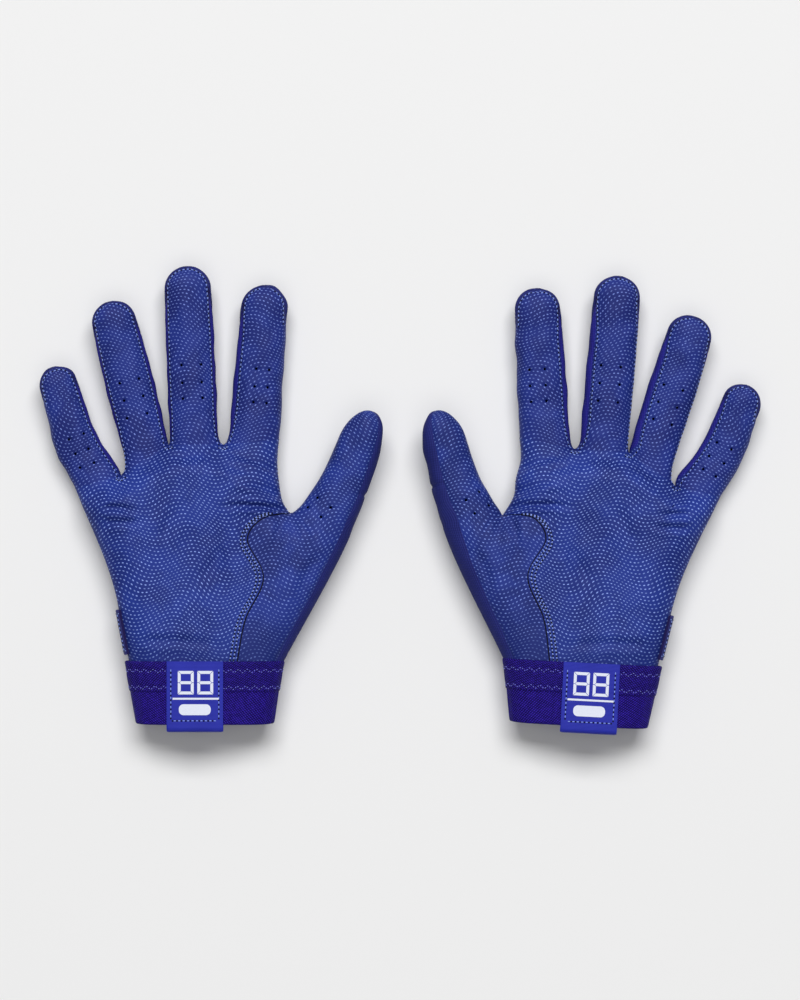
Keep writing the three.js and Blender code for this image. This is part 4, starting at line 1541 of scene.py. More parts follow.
    def root(self, place: int) -> tuple[Array, Array]:
        """Finds a finger's section across its root, at a web the neighbours' mean.

        Args:
            place: the finger's place in the row.

        Returns:
            Its level and its half thickness at each turn.
        """
        row = self.row_fingers()
        before, after = row[max(place - 1, 0)], row[min(place + 1, len(row) - 1)]
        share = np.sin(self.turns) ** 2 / 2
        low = self.turns < 0
        level = lerp(row[place].level, np.where(low, before.level, after.level), share)
        thick = lerp(row[place].size.thick, np.where(low, before.size.thick, after.size.thick), share)
        return level, thick / 2

    def lap(self, grid: Array) -> Array:
        """Adds rows that reach into the cuff.

        Args:
            grid: a hand panel's points.

        Returns:
            The longer grid.
        """
        rows = []
        for y in self.LAP:
            row = grid[0].copy()
            row[:, 0] *= cuff_scale(y)
            row[:, 1] = y
            row[:, 2] = lerp(self.size.wrist_level, row[:, 2], self.LAP_SHRINK)
            rows.append(row)
        return np.concatenate([np.array(rows), grid])

    def sheet(self, side: int, lines: list[Callable[[Array], Array]]) -> Array:
        """Makes the palm or the back, from the cuff to the fingers' root lines.

        Args:
            side: 1 for the palm, -1 for the back.
            lines: the lines between its strips, by the rows' parameters.

        Returns:
            The panel's grid.
        """
        size, shares = self.size, self.row_share(self.rows)
        settle = smoothstep(shares, 1 - size.web_slope / size.length, 1)
        fill = 1 - smoothstep(shares, 1 - size.web_step / size.length, 1)
        drawn = [line(self.rows) for line in lines]
        strips = []
        for k in range(len(FINGER_SIZES)):
            web = np.where(self.turns < 0, k > 0, k < len(FINGER_SIZES) - 1)
            strip = self.strip(
                drawn[k], drawn[k + 1], self.root(k), self.turns, side, settle, fill[:, None] * web)
            strips.append(strip if k == 0 else strip[:, 1:])
        return self.lap(np.concatenate(strips, axis=1))

    def thumb_sheet(self, turns: Array, side: int, first: Callable[[Array], Array]) -> Array:
        """Makes one side of the thumb's base, from a seam to the outer edge.

        Args:
            turns: angles across it.
            side: 1 for the palm, -1 for the back.
            first: the seam, by its parameter.

        Returns:
            The panel's grid.
        """
        rows = np.linspace(0, 1, self.LOW_ROWS + 1)
        settle = smoothstep(rows, 1 - self.size.web_slope / self.thenar_length, 1)
        thumb = self.fingers["thumb"]
        root = thumb.level, thumb.size.thick / 2
        return self.lap(self.strip(first(rows), self.thenar.at(rows), root, turns, side, settle))

    def seam_turns(self, first: Callable[[Array], Array]) -> Array:
        """Finds where the leather of the thumb's base ends and its gusset shows.

        Args:
            first: the leather's inner seam, by its parameter.

        Returns:
            The turn in each row.
        """
        rows = np.linspace(0, 1, self.LOW_ROWS + 1)
        wide = np.linalg.norm(self.thenar.at(rows) - first(rows), axis=1)
        last = power(math.sin(QUARTER - self.size.thumb_seam))
        share = 1 - 2 * lerp(self.size.gusset_show, (1 - last) / 2 * wide[-1], rows) / wide
        return np.arcsin(np.sign(share) * np.abs(share) ** (1 / SECTION_POWER))


def cuff_scale(y: Field) -> Field:
    """Returns how far the cuff has narrowed at a height above the wrist line."""
    return 1 + CuffSize.taper / (HandSize.wrist_width / 2) * (np.asarray(y, float) / CuffSize.length)


@dataclass(frozen=True)
class Perforations:
    """Pairs of breathing holes along a finger, by their places across and along it."""

    left: float
    right: float
    first: float
    pitch: float
    pairs: int = 3
    radius: float = 0.63
    drift: float = 0.0
    rake: float = 0.0

    def places(self, finger: Finger) -> list[Array]:
        """Places the holes; each pair moves across, and its two are set apart along.

        Args:
            finger: the finger.

        Returns:
            Places of the plan.
        """
        spots = [(x + k * self.drift, self.first + k * self.pitch + rake) for k in range(self.pairs)
                 for x, rake in ((self.left, self.rake / 2), (self.right, -self.rake / 2))]
        return [finger.root + finger.across * x + finger.along * s for x, s in spots]


PERFORATIONS = {
    "little": Perforations(-5.2, 2.4, 7.7, 7.6),
    "ring": Perforations(-4.7, 5.0, 13.6, 8.4),
    "middle": Perforations(-4.2, 5.5, 18.5, 8.15),
    "index": Perforations(-1.8, 5.3, 16.5, 8.1),
    "thumb": Perforations(-10.2, -2.4, 3.75, 6.6, pairs=2, drift=2.4, rake=1.8),
}


@dataclass(frozen=True)
class SwellSize:
    """How far the panels' outsides move: dips and rises with their reach, and where they fade."""

    ripple: float = 13.0
    finger_ripple: float = 0.42
    back_ripple: float = 0.25
    palm_ripple: float = 0.2
    calm: float = 5.0
    start_rows: int = 9
    seam: Pair = (0.4, 1.7)
    edge: Pair = (0.3, 1.6)
    lip: Pair = (0.55, 3.5)
    dip: Pair = (0.8, 4.5)
    cross_seam: Pair = (0.7, 0.9)
    cuff: Pair = (-3.0, 7.0)
    roots: Pair = (0.9, 1.0)
    thumb_root: Pair = (0.88, 1.0)


PANEL_LOOKS = {
    "palm_leather": (LEATHER, CUT_EDGE, "leather"),
    "thenar_panel": (THUMB_LEATHER, CUT_EDGE, "leather"),
    "thumb_front": (THUMB_LEATHER, CUT_EDGE, "finger_leather"),
    "front": (FINGER_LEATHER, CUT_EDGE, "finger_leather"),
    "side": (SIDE_KNIT, KNIT_EDGE, "stretch"),
}


class Panels:
    """The leather and stretch panels of one glove: cut, shaped and pierced; those off the fingers are set on
    the hand's body.
    """

    SIDE_COLUMNS = 8
    THENAR_COLUMNS = 26
    EDGE_COLUMNS = 8
    UNDER_COLUMNS = 24
    OVERLAP = 0.9
    OVERLAP_FADE = (0.8, 0.97)
    TUCK = 1.5
    RIM_REACH = 0.8
    SPREAD = (-2.0, 6.0)
    CLOSING = (0.62, 0.86)
    SIDE_ANGLE = math.radians(27)
    WRAP_ANGLE = math.radians(25)
    THUMB_BASE = ("thenar_panel", "thumb_gusset")
    THUMB_INNER = math.radians(190)
    THUMB_INNER_RUN = 13.0
    THUMB_CROSS_SEAM = 21.0
    BLEND = 20.0
    SWELL = SwellSize()

    def __init__(self, place: Placement, hand: Hand, seed: int) -> None:
        """Keeps the hand and makes room for the panels.

        Args:
            place: where the glove lies.
            hand: the hand's lines.
            seed: fixes the skins' unevenness.
        """
        self.place, self.hand, self.seed = place, hand, seed
        self.patches: dict[str, Patch] = {}
        self.sleeves: dict[str, Sleeve] = {}

    def build(self) -> None:
        """Cuts every panel, gives it its relief and pierces it."""
        self.cut_hand()
        self.cut_fingers()
        self.cut_thumb()
        self.shape()
        self.pierce()

    def add(self, patch: Patch) -> Patch:
        """Keeps a panel under its name."""
        self.patches[patch.name] = patch
        return patch

    def overlap(self, t: Array) -> Array:
        """Returns 1 where the palm's edge laps over the thumb panel, 0 at the thumb's web and above."""
        low, high = self.OVERLAP_FADE
        return 1 - smoothstep(t, low * self.hand.crotch_share, high * self.hand.crotch_share)

    def cut_hand(self) -> None:
        """Cuts the palm, the back and the two panels at the thumb's base."""
        hand = self.hand

        def lapped(t: Array) -> Array:
            """Returns the palm's seam edge, moved over the thumb panel."""
            return hand.seam.at(t) + hand.seam.aside(t) * (self.OVERLAP * self.overlap(t))[..., None]

        def tucked(t: Array) -> Array:
            """Returns the thumb panel's edge, under the palm's."""
            t = t * hand.crotch_share
            return hand.seam.at(t) - hand.seam.aside(t) * (self.TUCK * self.overlap(t))[..., None]

        def under(t: Array) -> Array:
            """Returns the back seam beside the thumb panel."""
            return hand.back_seam.at(t * hand.crotch_share)

        palm = hand.sheet(1, [*hand.front[:4], lapped])
        self.add(Patch("palm_leather", palm, palm[..., :2].copy()))
        back = hand.sheet(-1, hand.back)
        self.add(Patch("back_panel", back, back[..., :2].copy(), True, STRETCH_WALL))
        seam = hand.seam_turns(tucked)[:, None]
        palm_turns = lerp(-QUARTER, seam, np.linspace(0, 1, self.THENAR_COLUMNS + 1))
        edge_turns = lerp(seam, QUARTER, np.linspace(0, 1, self.EDGE_COLUMNS + 1))
        under_turns = np.linspace(QUARTER, -QUARTER, self.UNDER_COLUMNS + 1)
        thenar = hand.thumb_sheet(palm_turns, 1, tucked)
        self.add(Patch("thenar_panel", thenar, thenar[..., :2].copy()))
        over, below = hand.thumb_sheet(edge_turns, 1, tucked), hand.thumb_sheet(under_turns, -1, under)
        gusset = np.concatenate([over, below[:, 1:]], axis=1)
        cloth = np.stack([row_lengths(gusset), gusset[..., 1]], axis=-1)
        self.add(Patch("thumb_gusset", gusset, cloth, False, STRETCH_WALL))

    def cut_fingers(self) -> None:
        """Cuts the fronts, backs and side walls of the four fingers."""
        count = Hand.STRIP
        palm, back = self.patches["palm_leather"].points[-1], self.patches["back_panel"].points[-1]
        angles = np.concatenate([QUARTER + self.hand.turns, 3 * QUARTER + self.hand.turns[1:-1]])
        for k, finger in enumerate(self.hand.row_fingers()):
            span = slice(k * count, (k + 1) * count + 1)
            root = np.concatenate([palm[span][::-1], back[span][1:-1]])
            self.sleeves[finger.name] = Sleeve(finger, angles, root)
            self.cut_finger(finger, self.sleeves[finger.name])

    def cut_finger(self, finger: Finger, sleeve: Sleeve) -> None:
        """Cuts one finger's panels; the outer sides of the outer fingers have no side wall.

        Args:
            finger: the finger.
            sleeve: its outside.
        """
        thumb_side, far_side = finger.name != "index", finger.name != "little"
        roll = math.radians(finger.lie.roll)

        def grow(run: Array) -> Array:
            """Returns 0 at the web and 1 where the seams have spread."""
            return smoothstep(run - sleeve.first, *self.SPREAD)

        def closing(run: Array) -> Array:
            """Returns 0 where the side walls are whole and 1 where they have ended."""
            return smoothstep(run / finger.length, *self.CLOSING)

        def turned(run: Array) -> Array:
            """Returns how far the finger's panels are rolled round it."""
            return roll * grow(run) * (1 - closing(run))

        def front(run: Array) -> tuple[Array, Array]:
            """Finds the leather's two seams.

            Args:
                run: ways along the finger.

            Returns:
                The far and the near angles.
            """
            side = sleeve.seam_angle(run) * grow(run)
            wrapped = lerp(-self.WRAP_ANGLE * grow(run), side, closing(run))
            far = side if far_side else wrapped
            near = side if thumb_side else wrapped
            return math.pi - far + turned(run), near + turned(run)

        def rear(run: Array) -> tuple[Array, Array]:
            """Finds the back's two seams; past the side walls they are the leather's.

            Args:
                run: ways along the finger.

            Returns:
                The near and the far angles.
            """
            far, near = front(run)
            low = self.SIDE_ANGLE * grow(run)
            if thumb_side:
                near = lerp(turned(run) - low, near, closing(run))
            if far_side:
                far = lerp(turned(run) + math.pi + low, far, closing(run))
            return near, far - TURN

        def near_wall(run: Array) -> tuple[Array, Array]:
            """Returns the two seams of the thumb-side wall."""
            return front(run)[1], rear(run)[0]

        def far_wall(run: Array) -> tuple[Array, Array]:
            """Returns the two seams of the far-side wall."""
            return rear(run)[1] + TURN, front(run)[0]

        sleeve.turned = turned
        name, columns, side = finger.name, Hand.STRIP, self.SIDE_COLUMNS
        self.add(sleeve.panel(f"{name}_front", front, columns, False))
        self.add(sleeve.panel(f"{name}_back", rear, columns + side))
        if thumb_side:
            self.add(sleeve.panel(f"{name}_fourchette_thumb_side", near_wall, side, False))
        if far_side:
            self.add(sleeve.panel(f"{name}_fourchette_far_side", far_wall, side, False))

    def cut_thumb(self) -> None:
        """Cuts the thumb's front and back from the root line of its base."""
        thumb = self.hand.fingers["thumb"]
        thenar, gusset = (self.patches[name].points[-1] for name in self.THUMB_BASE)
        seam_turn, edge = QUARTER - self.hand.size.thumb_seam, self.EDGE_COLUMNS + 1
        palm_turns = np.linspace(-QUARTER, seam_turn, self.THENAR_COLUMNS + 1)
        turns = np.concatenate([palm_turns, np.linspace(seam_turn, QUARTER, edge)[1:]])
        palm_root = np.concatenate([thenar, gusset[1:edge]])
        back_turns = np.linspace(QUARTER, -QUARTER, self.UNDER_COLUMNS + 1)[1:-1]
        angles = np.concatenate([(QUARTER - turns)[::-1], (3 * QUARTER + back_turns)[::-1]])
        root = np.concatenate([palm_root[::-1], gusset[edge:-1][::-1]])
        sleeve = self.sleeves["thumb"] = Sleeve(thumb, angles, root)

        def inner(run: Array) -> Array:
            """Returns the inner seam, which starts at the web."""
            return lerp(math.pi, self.THUMB_INNER, smoothstep(run - sleeve.first, 0, self.THUMB_INNER_RUN))

        def outer(run: Array) -> Array:
            """Returns the outer seam."""
            return np.full_like(run, self.hand.size.thumb_seam)

        back_columns = self.EDGE_COLUMNS + self.UNDER_COLUMNS
        self.add(sleeve.panel("thumb_front", lambda run: (inner(run), outer(run)), self.THENAR_COLUMNS))
        self.add(sleeve.panel("thumb_back", lambda run: (outer(run), inner(run) - TURN), back_columns))

    def groups(self) -> list[list[Patch]]:
        """Sorts the panels by the surfaces that run on into each other.

        Returns:
            The sets of panels.
        """
        names = [f.name for f in FINGER_SIZES]
        sets = [["palm_leather", *(f"{n}_front" for n in names)],
                ["back_panel", *(f"{n}_back" for n in names)],
                ["thenar_panel", "thumb_front"], ["thumb_gusset", "thumb_back"]]
        taken = {name for group in sets for name in group}
        sets.extend([name] for name in self.patches if name not in taken)
        return [[self.patches[name] for name in group] for group in sets]

    def shape(self) -> None:
        """Moves the panels' points out and in: pads, folds, seams and the palm's lapped edge."""
        share_normals(list(self.patches.values()))
        for patch in self.patches.values():
            patch.move(self.swell(patch))
        for group in self.groups():
            share_normals(group)
        palm = self.patches["palm_leather"]
        rows = self.row_parameters(palm)
        palm.skirt = np.zeros_like(palm.points)
        reach = self.hand.seam.aside(rows) * (self.RIM_REACH * self.overlap(rows))[:, None]
        palm.skirt[:, -1, :2] = reach

    def row_parameters(self, patch: Patch) -> Array:
        """Finds the parameters of a hand panel's rows, the lap's being 0.

        Args:
            patch: the panel.

        Returns:
            The parameters.
        """
        rows = self.hand.rows
        if patch.name in self.THUMB_BASE:
            rows = np.linspace(0, 1, Hand.LOW_ROWS + 1) * self.hand.crotch_share
        return np.concatenate([np.zeros(len(Hand.LAP)), rows])

    @staticmethod
    def fall(patch: Patch, edge: Edge, amount: float, reach: float) -> Array:
        """Lets an amount on an edge fall to 0 inside it.

        Args:
            patch: the panel.
            edge: the edge.
            amount: the amount on it.
            reach: how far inside it is 0.

        Returns:
            The amount at each point.
        """
        run = row_lengths(patch.points)
        if edge is Edge.LAST_COLUMN:
            run = run[:, -1:] - run
        return amount * (1 - smoothstep(run, 0, reach))

    def finger_of(self, name: str) -> str | None:
        """Returns the finger that a panel belongs to, if there is one."""
        head = name.split("_")[0]
        return head if head in self.hand.fingers and name != "thumb_gusset" else None

    def swell(self, patch: Patch) -> Array:
        """Finds how far each point of a panel moves out.

        Args:
            patch: the panel.

        Returns:
            The distances.
        """
        size, first, last = self.SWELL, Edge.FIRST_COLUMN, Edge.LAST_COLUMN
        uneven = ripple(patch.points, size.ripple, self.seed)
        if self.finger_of(patch.name):
            grow = smoothstep(np.arange(len(patch.points)), 0, size.start_rows)[:, None]
            seams = self.fall(patch, first, *size.seam) + self.fall(patch, last, *size.seam)
            calm = (1 - self.fall(patch, first, 1, size.calm)) * (1 - self.fall(patch, last, 1, size.calm))
            moved = grow * (size.finger_ripple * uneven * calm - seams)
            if patch.name == "thumb_back":
                depth, width = size.cross_seam
                moved = moved - depth * bell(patch.runs[:, None] - self.THUMB_CROSS_SEAM, width)
            return moved
        plan, rows = patch.points[..., :2], self.row_parameters(patch)
        settle = smoothstep(self.hand.row_share(rows), *size.roots)
        if patch.name in self.THUMB_BASE:
            settle = smoothstep(rows / self.hand.crotch_share, *size.thumb_root)
        free, lap = (1 - settle)[:, None], self.overlap(rows)[:, None]
        mask = self.hand.profile(plan) * free * smoothstep(plan[..., 1], *size.cuff)
        if patch.name == "back_panel":
            return mask * size.back_ripple * uneven - self.fall(patch, first, *size.edge) * free
        relief = mask * (self.relief(plan) + size.palm_ripple * uneven)
        if patch.name == "palm_leather":
            lip = self.fall(patch, last, *size.lip) * lap
            return relief + lip - self.fall(patch, first, *size.edge) * free
        if patch.name == "thenar_panel":
            dip = self.fall(patch, first, *size.dip) * lap
            return relief - dip - self.fall(patch, last, *size.seam) * free
        relief[:, self.EDGE_COLUMNS + 1:] = 0
        return relief - self.fall(patch, first, *size.seam) * free

    def relief(self, plan: Array) -> Array:
        """Returns the rise of the pads and folds over places of the plan."""
        return sum(pad.rise(plan) for pad in PALM_PADS) + sum(crease.height(plan) for crease in CREASES)

    def pierce(self) -> None:
        """Places the breathing holes on the fingers' fronts."""
        block = Shell.HOLE_BLOCK
        for name, holes in PERFORATIONS.items():
            patch = self.patches[f"{name}_front"]
            last = patch.points.shape[1] - 1 - block
            for place in holes.places(self.hand.fingers[name]):
                row, column = patch.nearest(place)
                patch.holes.append(Hole(max(row, block), min(max(column, block), last), holes.radius))

    def bend(self, made: bpy.types.Object, finger: str) -> None:
        """Bakes a finger's piece into its mesh where it lies; the span where it would bend is found but not
        used.

        Args:
            made: the piece.
            finger: the finger's name.
        """
        sleeve, prefix = self.sleeves[finger], self.place.prefix
        shape = sleeve.finger
        runs = (sleeve.first, sleeve.first + self.BLEND)
        ends = [np.append(shape.root + shape.along * run, shape.level) for run in runs]
        start, end = (self.place.world(p) for p in ends)
        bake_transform(made)

    def dress(self) -> None:
        """Makes each panel's mesh and finishes it; a finger's panel is baked where it lies, the others are
        set on the hand's body.
        """
        prefix = self.place.prefix
        for name, patch in self.patches.items():
            kind = name if name in PANEL_LOOKS else name.split("_")[-1]
            outside, edge, slot = PANEL_LOOKS.get(kind, (KNIT, KNIT_EDGE, "stretch"))
            made = Shell(patch).draft().to_object(name, self.place, (outside, edge))
            finger = self.finger_of(name)
            if finger:
                self.bend(made, finger)
            else:
                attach(made, f"{prefix}_hand")
            stand_in(made, f"{prefix}_{name}")


# Stitches and other things that repeat

@dataclass(frozen=True)
class StitchStyle:
    """A thread and the way it is laid."""

    name: str
    thread: Finish
    pitch: float
    length: float
    width: float
    height: float
    hole: float


FINE = StitchStyle("stitches", THREAD, 2.1, 1.2, 0.54, 0.46, 0.48)
SEAM = StitchStyle("seam_stitches", THREAD, 1.8, 1.05, 0.66, 0.52, 0.54)
ZIGZAG = StitchStyle("cuff_stitches", CUFF_THREAD, 1.45, 0.75, 0.44, 0.4, 0.2)


class Scatter(Wiring):
    """A node tree that lays one small shape at each point of a mesh."""

    def __init__(self, name: str, sizes: Sequence[str], materials: Sequence[str]) -> None:
        """Makes the tree with its named inputs and its output.

        Args:
            name: the tree's name.
            sizes: names of its number inputs.
            materials: names of its material inputs.
        """
        super().__init__(bpy.data.node_groups.new(name, "GeometryNodeTree"))
        self.ids: dict[str, str] = {}
        kinds = {"Points": "NodeSocketGeometry", **dict.fromkeys(sizes, "NodeSocketFloat"),
                 **dict.fromkeys(materials, "NodeSocketMaterial")}
        for key, kind in kinds.items():
            socket = self.tree.interface.new_socket(key, in_out="INPUT", socket_type=kind)
            self.ids[key] = socket.identifier
        self.tree.interface.new_socket("Geometry", in_out="OUTPUT", socket_type="NodeSocketGeometry")
        source = self.tree.nodes.new("NodeGroupInput")
        self.given = {s.name: Value(self.tree, s) for s in source.outputs if s.name}

    def named(self, name: str) -> Value:
        """Returns a vector attribute of the points."""
        settings = {"data_type": "FLOAT_VECTOR"}
        return self.add("GeometryNodeInputNamedAttribute", settings, {"Name": name}, "Attribute")

    def changed(self, shape: Value, key: str, value: Value | tuple) -> Value:
        """Returns a shape with a Rotation or a Scale."""
        return self.add("GeometryNodeTransform", {}, {"Geometry": shape, key: value})

    def turned(self) -> Value:
        """Lays X along the run and Z out of the surface.

        Returns:
            The rotation.
        """
        kind = "FunctionNodeAlignRotationToVector"
        along = self.add(kind, {"axis": "X"}, {"Vector": self.named("run")})
        inputs = {"Rotation": along, "Vector": self.named("face")}
        return self.add(kind, {"axis": "Z", "pivot_axis": "X"}, inputs)

    def laid(self, points: Value, shape: Value, material: Value) -> Value:
        """Lays a shape at every point.

        Args:
            points: the points.
            shape: what is laid there.
            material: its material.

        Returns:
            One mesh.
        """
        inputs = {"Points": points, "Instance": shape, "Rotation": self.turned()}
        placed = self.add("GeometryNodeInstanceOnPoints", {}, inputs)
        whole = self.add("GeometryNodeRealizeInstances", {}, {0: placed})
        return self.add("GeometryNodeSetMaterial", {}, {"Geometry": whole, "Material": material})

    def end(self, result: Value) -> None:
        """Links the tree's output."""
        last = self.tree.nodes.new("NodeGroupOutput")
        self.tree.links.new(result.socket, last.inputs[0])

    def grow(self, name: str, place: Placement, points: Array, runs: Array, faces: Array,
             values: dict) -> bpy.types.Object:
        """Lays the shapes at points and returns them as one plain mesh object.

        Args:
            name: the object's name, without the glove's prefix.
            place: where the glove lies.
            points: the shapes' places in the glove's frame.
            runs: the way each shape lies.
            faces: the way out of the surface under each shape.
            values: the tree's inputs by name.

        Returns:
            The new object.
        """
        full = f"{place.prefix}_{name}"
        seeds = bpy.data.meshes.new(f"{full}_points")
        seeds.from_pydata(place.world(points).tolist(), [], [])
        for key, ways in (("run", runs), ("face", faces)):
            data = seeds.attributes.new(key, "FLOAT_VECTOR", "POINT").data
            data.foreach_set("vector", place.ways(ways).ravel())
        made = new_object(full, seeds)
        modifier = made.modifiers.new("scatter", "NODES")
        modifier.node_group = self.tree
        for key, value in values.items():
            modifier[self.ids[key]] = value
        graph = bpy.context.evaluated_depsgraph_get()
        mesh = bpy.data.meshes.new_from_object(made.evaluated_get(graph))
        made.modifiers.remove(modifier)
        made.data = mesh
        mesh.name = full
        mesh.polygons.foreach_set("use_smooth", [True] * len(mesh.polygons))
        bpy.data.meshes.remove(seeds)
        return made


class StitchTree(Scatter):
    """Lays a short thread and after it a dark dent, painted shade of the needle hole, at each point."""

    THREAD_SIDES = (7, 5)
    HOLE_SIDES = (6, 4)
    HOLE_FLATNESS = 0.45

    def __init__(self) -> None:
        """Builds the tree."""
        super().__init__("stitch_rows", ("Length", "Width", "Height", "Hole", "Step"), ("Thread", "Dark"))
        given, hole = self.given, self.given["Hole"]
        upright = self.changed(self.ball(self.THREAD_SIDES, 0.5), "Rotation", (0.0, QUARTER, 0.0))
        thread = self.stretched(upright, given["Length"], given["Width"], given["Height"])
        threads = self.laid(given["Points"], thread, given["Thread"])
        # The dark dent paints the shade of the needle hole.
        dent = self.stretched(self.ball(self.HOLE_SIDES, 1.0), hole, hole, hole * self.HOLE_FLATNESS)
        ahead = self.scaled(self.named("run"), given["Step"])
        moved = self.add("GeometryNodeSetPosition", {}, {"Geometry": given["Points"], "Offset": ahead})
        dents = self.laid(moved, dent, given["Dark"])
        joined = self.tree.nodes.new("GeometryNodeJoinGeometry")
        for part in (dents, threads):
            self.tree.links.new(part.socket, joined.inputs[0])
        self.end(Value(self.tree, joined.outputs[0]))

    def ball(self, sides: tuple[int, int], radius: float) -> Value:
        """Returns a ball with a number of segments and rings."""
        inputs = {"Segments": sides[0], "Rings": sides[1], "Radius": radius}
        return self.add("GeometryNodeMeshUVSphere", {}, inputs, "Mesh")

    def stretched(self, shape: Value, x: Value, y: Value, z: Value) -> Value:
        """Returns a shape scaled along its three axes."""
        return self.changed(shape, "Scale", self.add("ShaderNodeCombineXYZ", {}, {0: x, 1: y, 2: z}))


class SproutTree(Scatter):
    """Lays a small bent filament at each point, as on hook and loop tape."""

    ARC_POINTS = 6
    SIDES = 4

    def __init__(self) -> None:
        """Builds the tree."""
        super().__init__("tape_filaments", ("Radius", "Sweep", "Thickness"), ("Filament",))
        given = self.given
        bent = {"Resolution": self.ARC_POINTS, "Radius": given["Radius"], "Start Angle": 0.0,
                "Sweep Angle": given["Sweep"]}
        stood = self.changed(self.add("GeometryNodeCurveArc", {}, bent), "Rotation", (QUARTER, 0.0, 0.0))
        section = {"Resolution": self.SIDES, "Radius": given["Thickness"]}
        ring = self.add("GeometryNodeCurvePrimitiveCircle", {}, section)
        inputs = {"Curve": stood, "Profile Curve": ring, "Fill Caps": True}
        filament = self.add("GeometryNodeCurveToMesh", {}, inputs)
        self.end(self.laid(given["Points"], filament, given["Filament"]))


class Stitching:
    """The rows of stitches that move with one body."""

    SHORTEST = 0.6
    REACH = 0.4
    LIFT = 0.12

    def __init__(self, place: Placement, name: str, style: StitchStyle, tree: StitchTree) -> None:
        """Starts with no rows.

        Args:
            place: where the glove lies.
            name: the rows' name.
            style: the thread.
            tree: lays the stitches.
        """
        self.place, self.name, self.style, self.tree = place, name, style, tree
        self.points: list[Array] = []
        self.runs: list[Array] = []
        self.faces: list[Array] = []

    def row(self, line: Array, normals: Array) -> None:
        """Lays stitches evenly along a line.

        Args:
            line: points on a surface.
            normals: the ways out of the surface there.
        """
        run = arc_lengths(line)
        if len(line) < 2 or run[-1] < self.style.pitch * self.SHORTEST:
            return
        count = max(1, round(run[-1] / self.style.pitch))
        at = (np.arange(count) + 0.5) * run[-1] / count
        ahead = values_at(np.minimum(at + self.REACH, run[-1]), run, line)
        behind = values_at(np.maximum(at - self.REACH, 0), run, line)
        faces = unit(values_at(at, run, normals))
        self.points.append(values_at(at, run, line) + faces * self.style.height * self.LIFT)
        self.runs.append(unit(ahead - behind))
        self.faces.append(faces)

    def make(self) -> bpy.types.Object:
        """Makes the stitches as one mesh.

        Returns:
            The new object.
        """
        style = self.style
        values = {
            "Length": style.length * MM, "Width": style.width * MM, "Height": style.height * MM,
            "Hole": style.hole * MM, "Step": style.pitch / 2 * MM,
            "Thread": style.thread.material(), "Dark": NEEDLE_HOLE_SHADE.material(),
        }
        lists = (np.concatenate(a) for a in (self.points, self.runs, self.faces))
        made = self.tree.grow(f"{self.name}_{style.name}", self.place, *lists, values)
        LOG.info("%s: %d stitches", made.name, sum(len(p) for p in self.points))
        return made


# Cuff, tab and closure

@dataclass(frozen=True)
class CuffSize:
    """The cuff's sizes: its hem, its elastic and the two stitch rows of the hem."""

    length: float = 30.4
    taper: float = 4.6
    hem: float = 14.2
    hem_lift: float = 2.0
    elastic_lift: float = 1.5
    inside: float = 0.35
    rows: Pair = (-4.6, -12.6)
    zigzag: float = 4.1
    zigzag_height: float = 0.85
    corner: float = 0.3


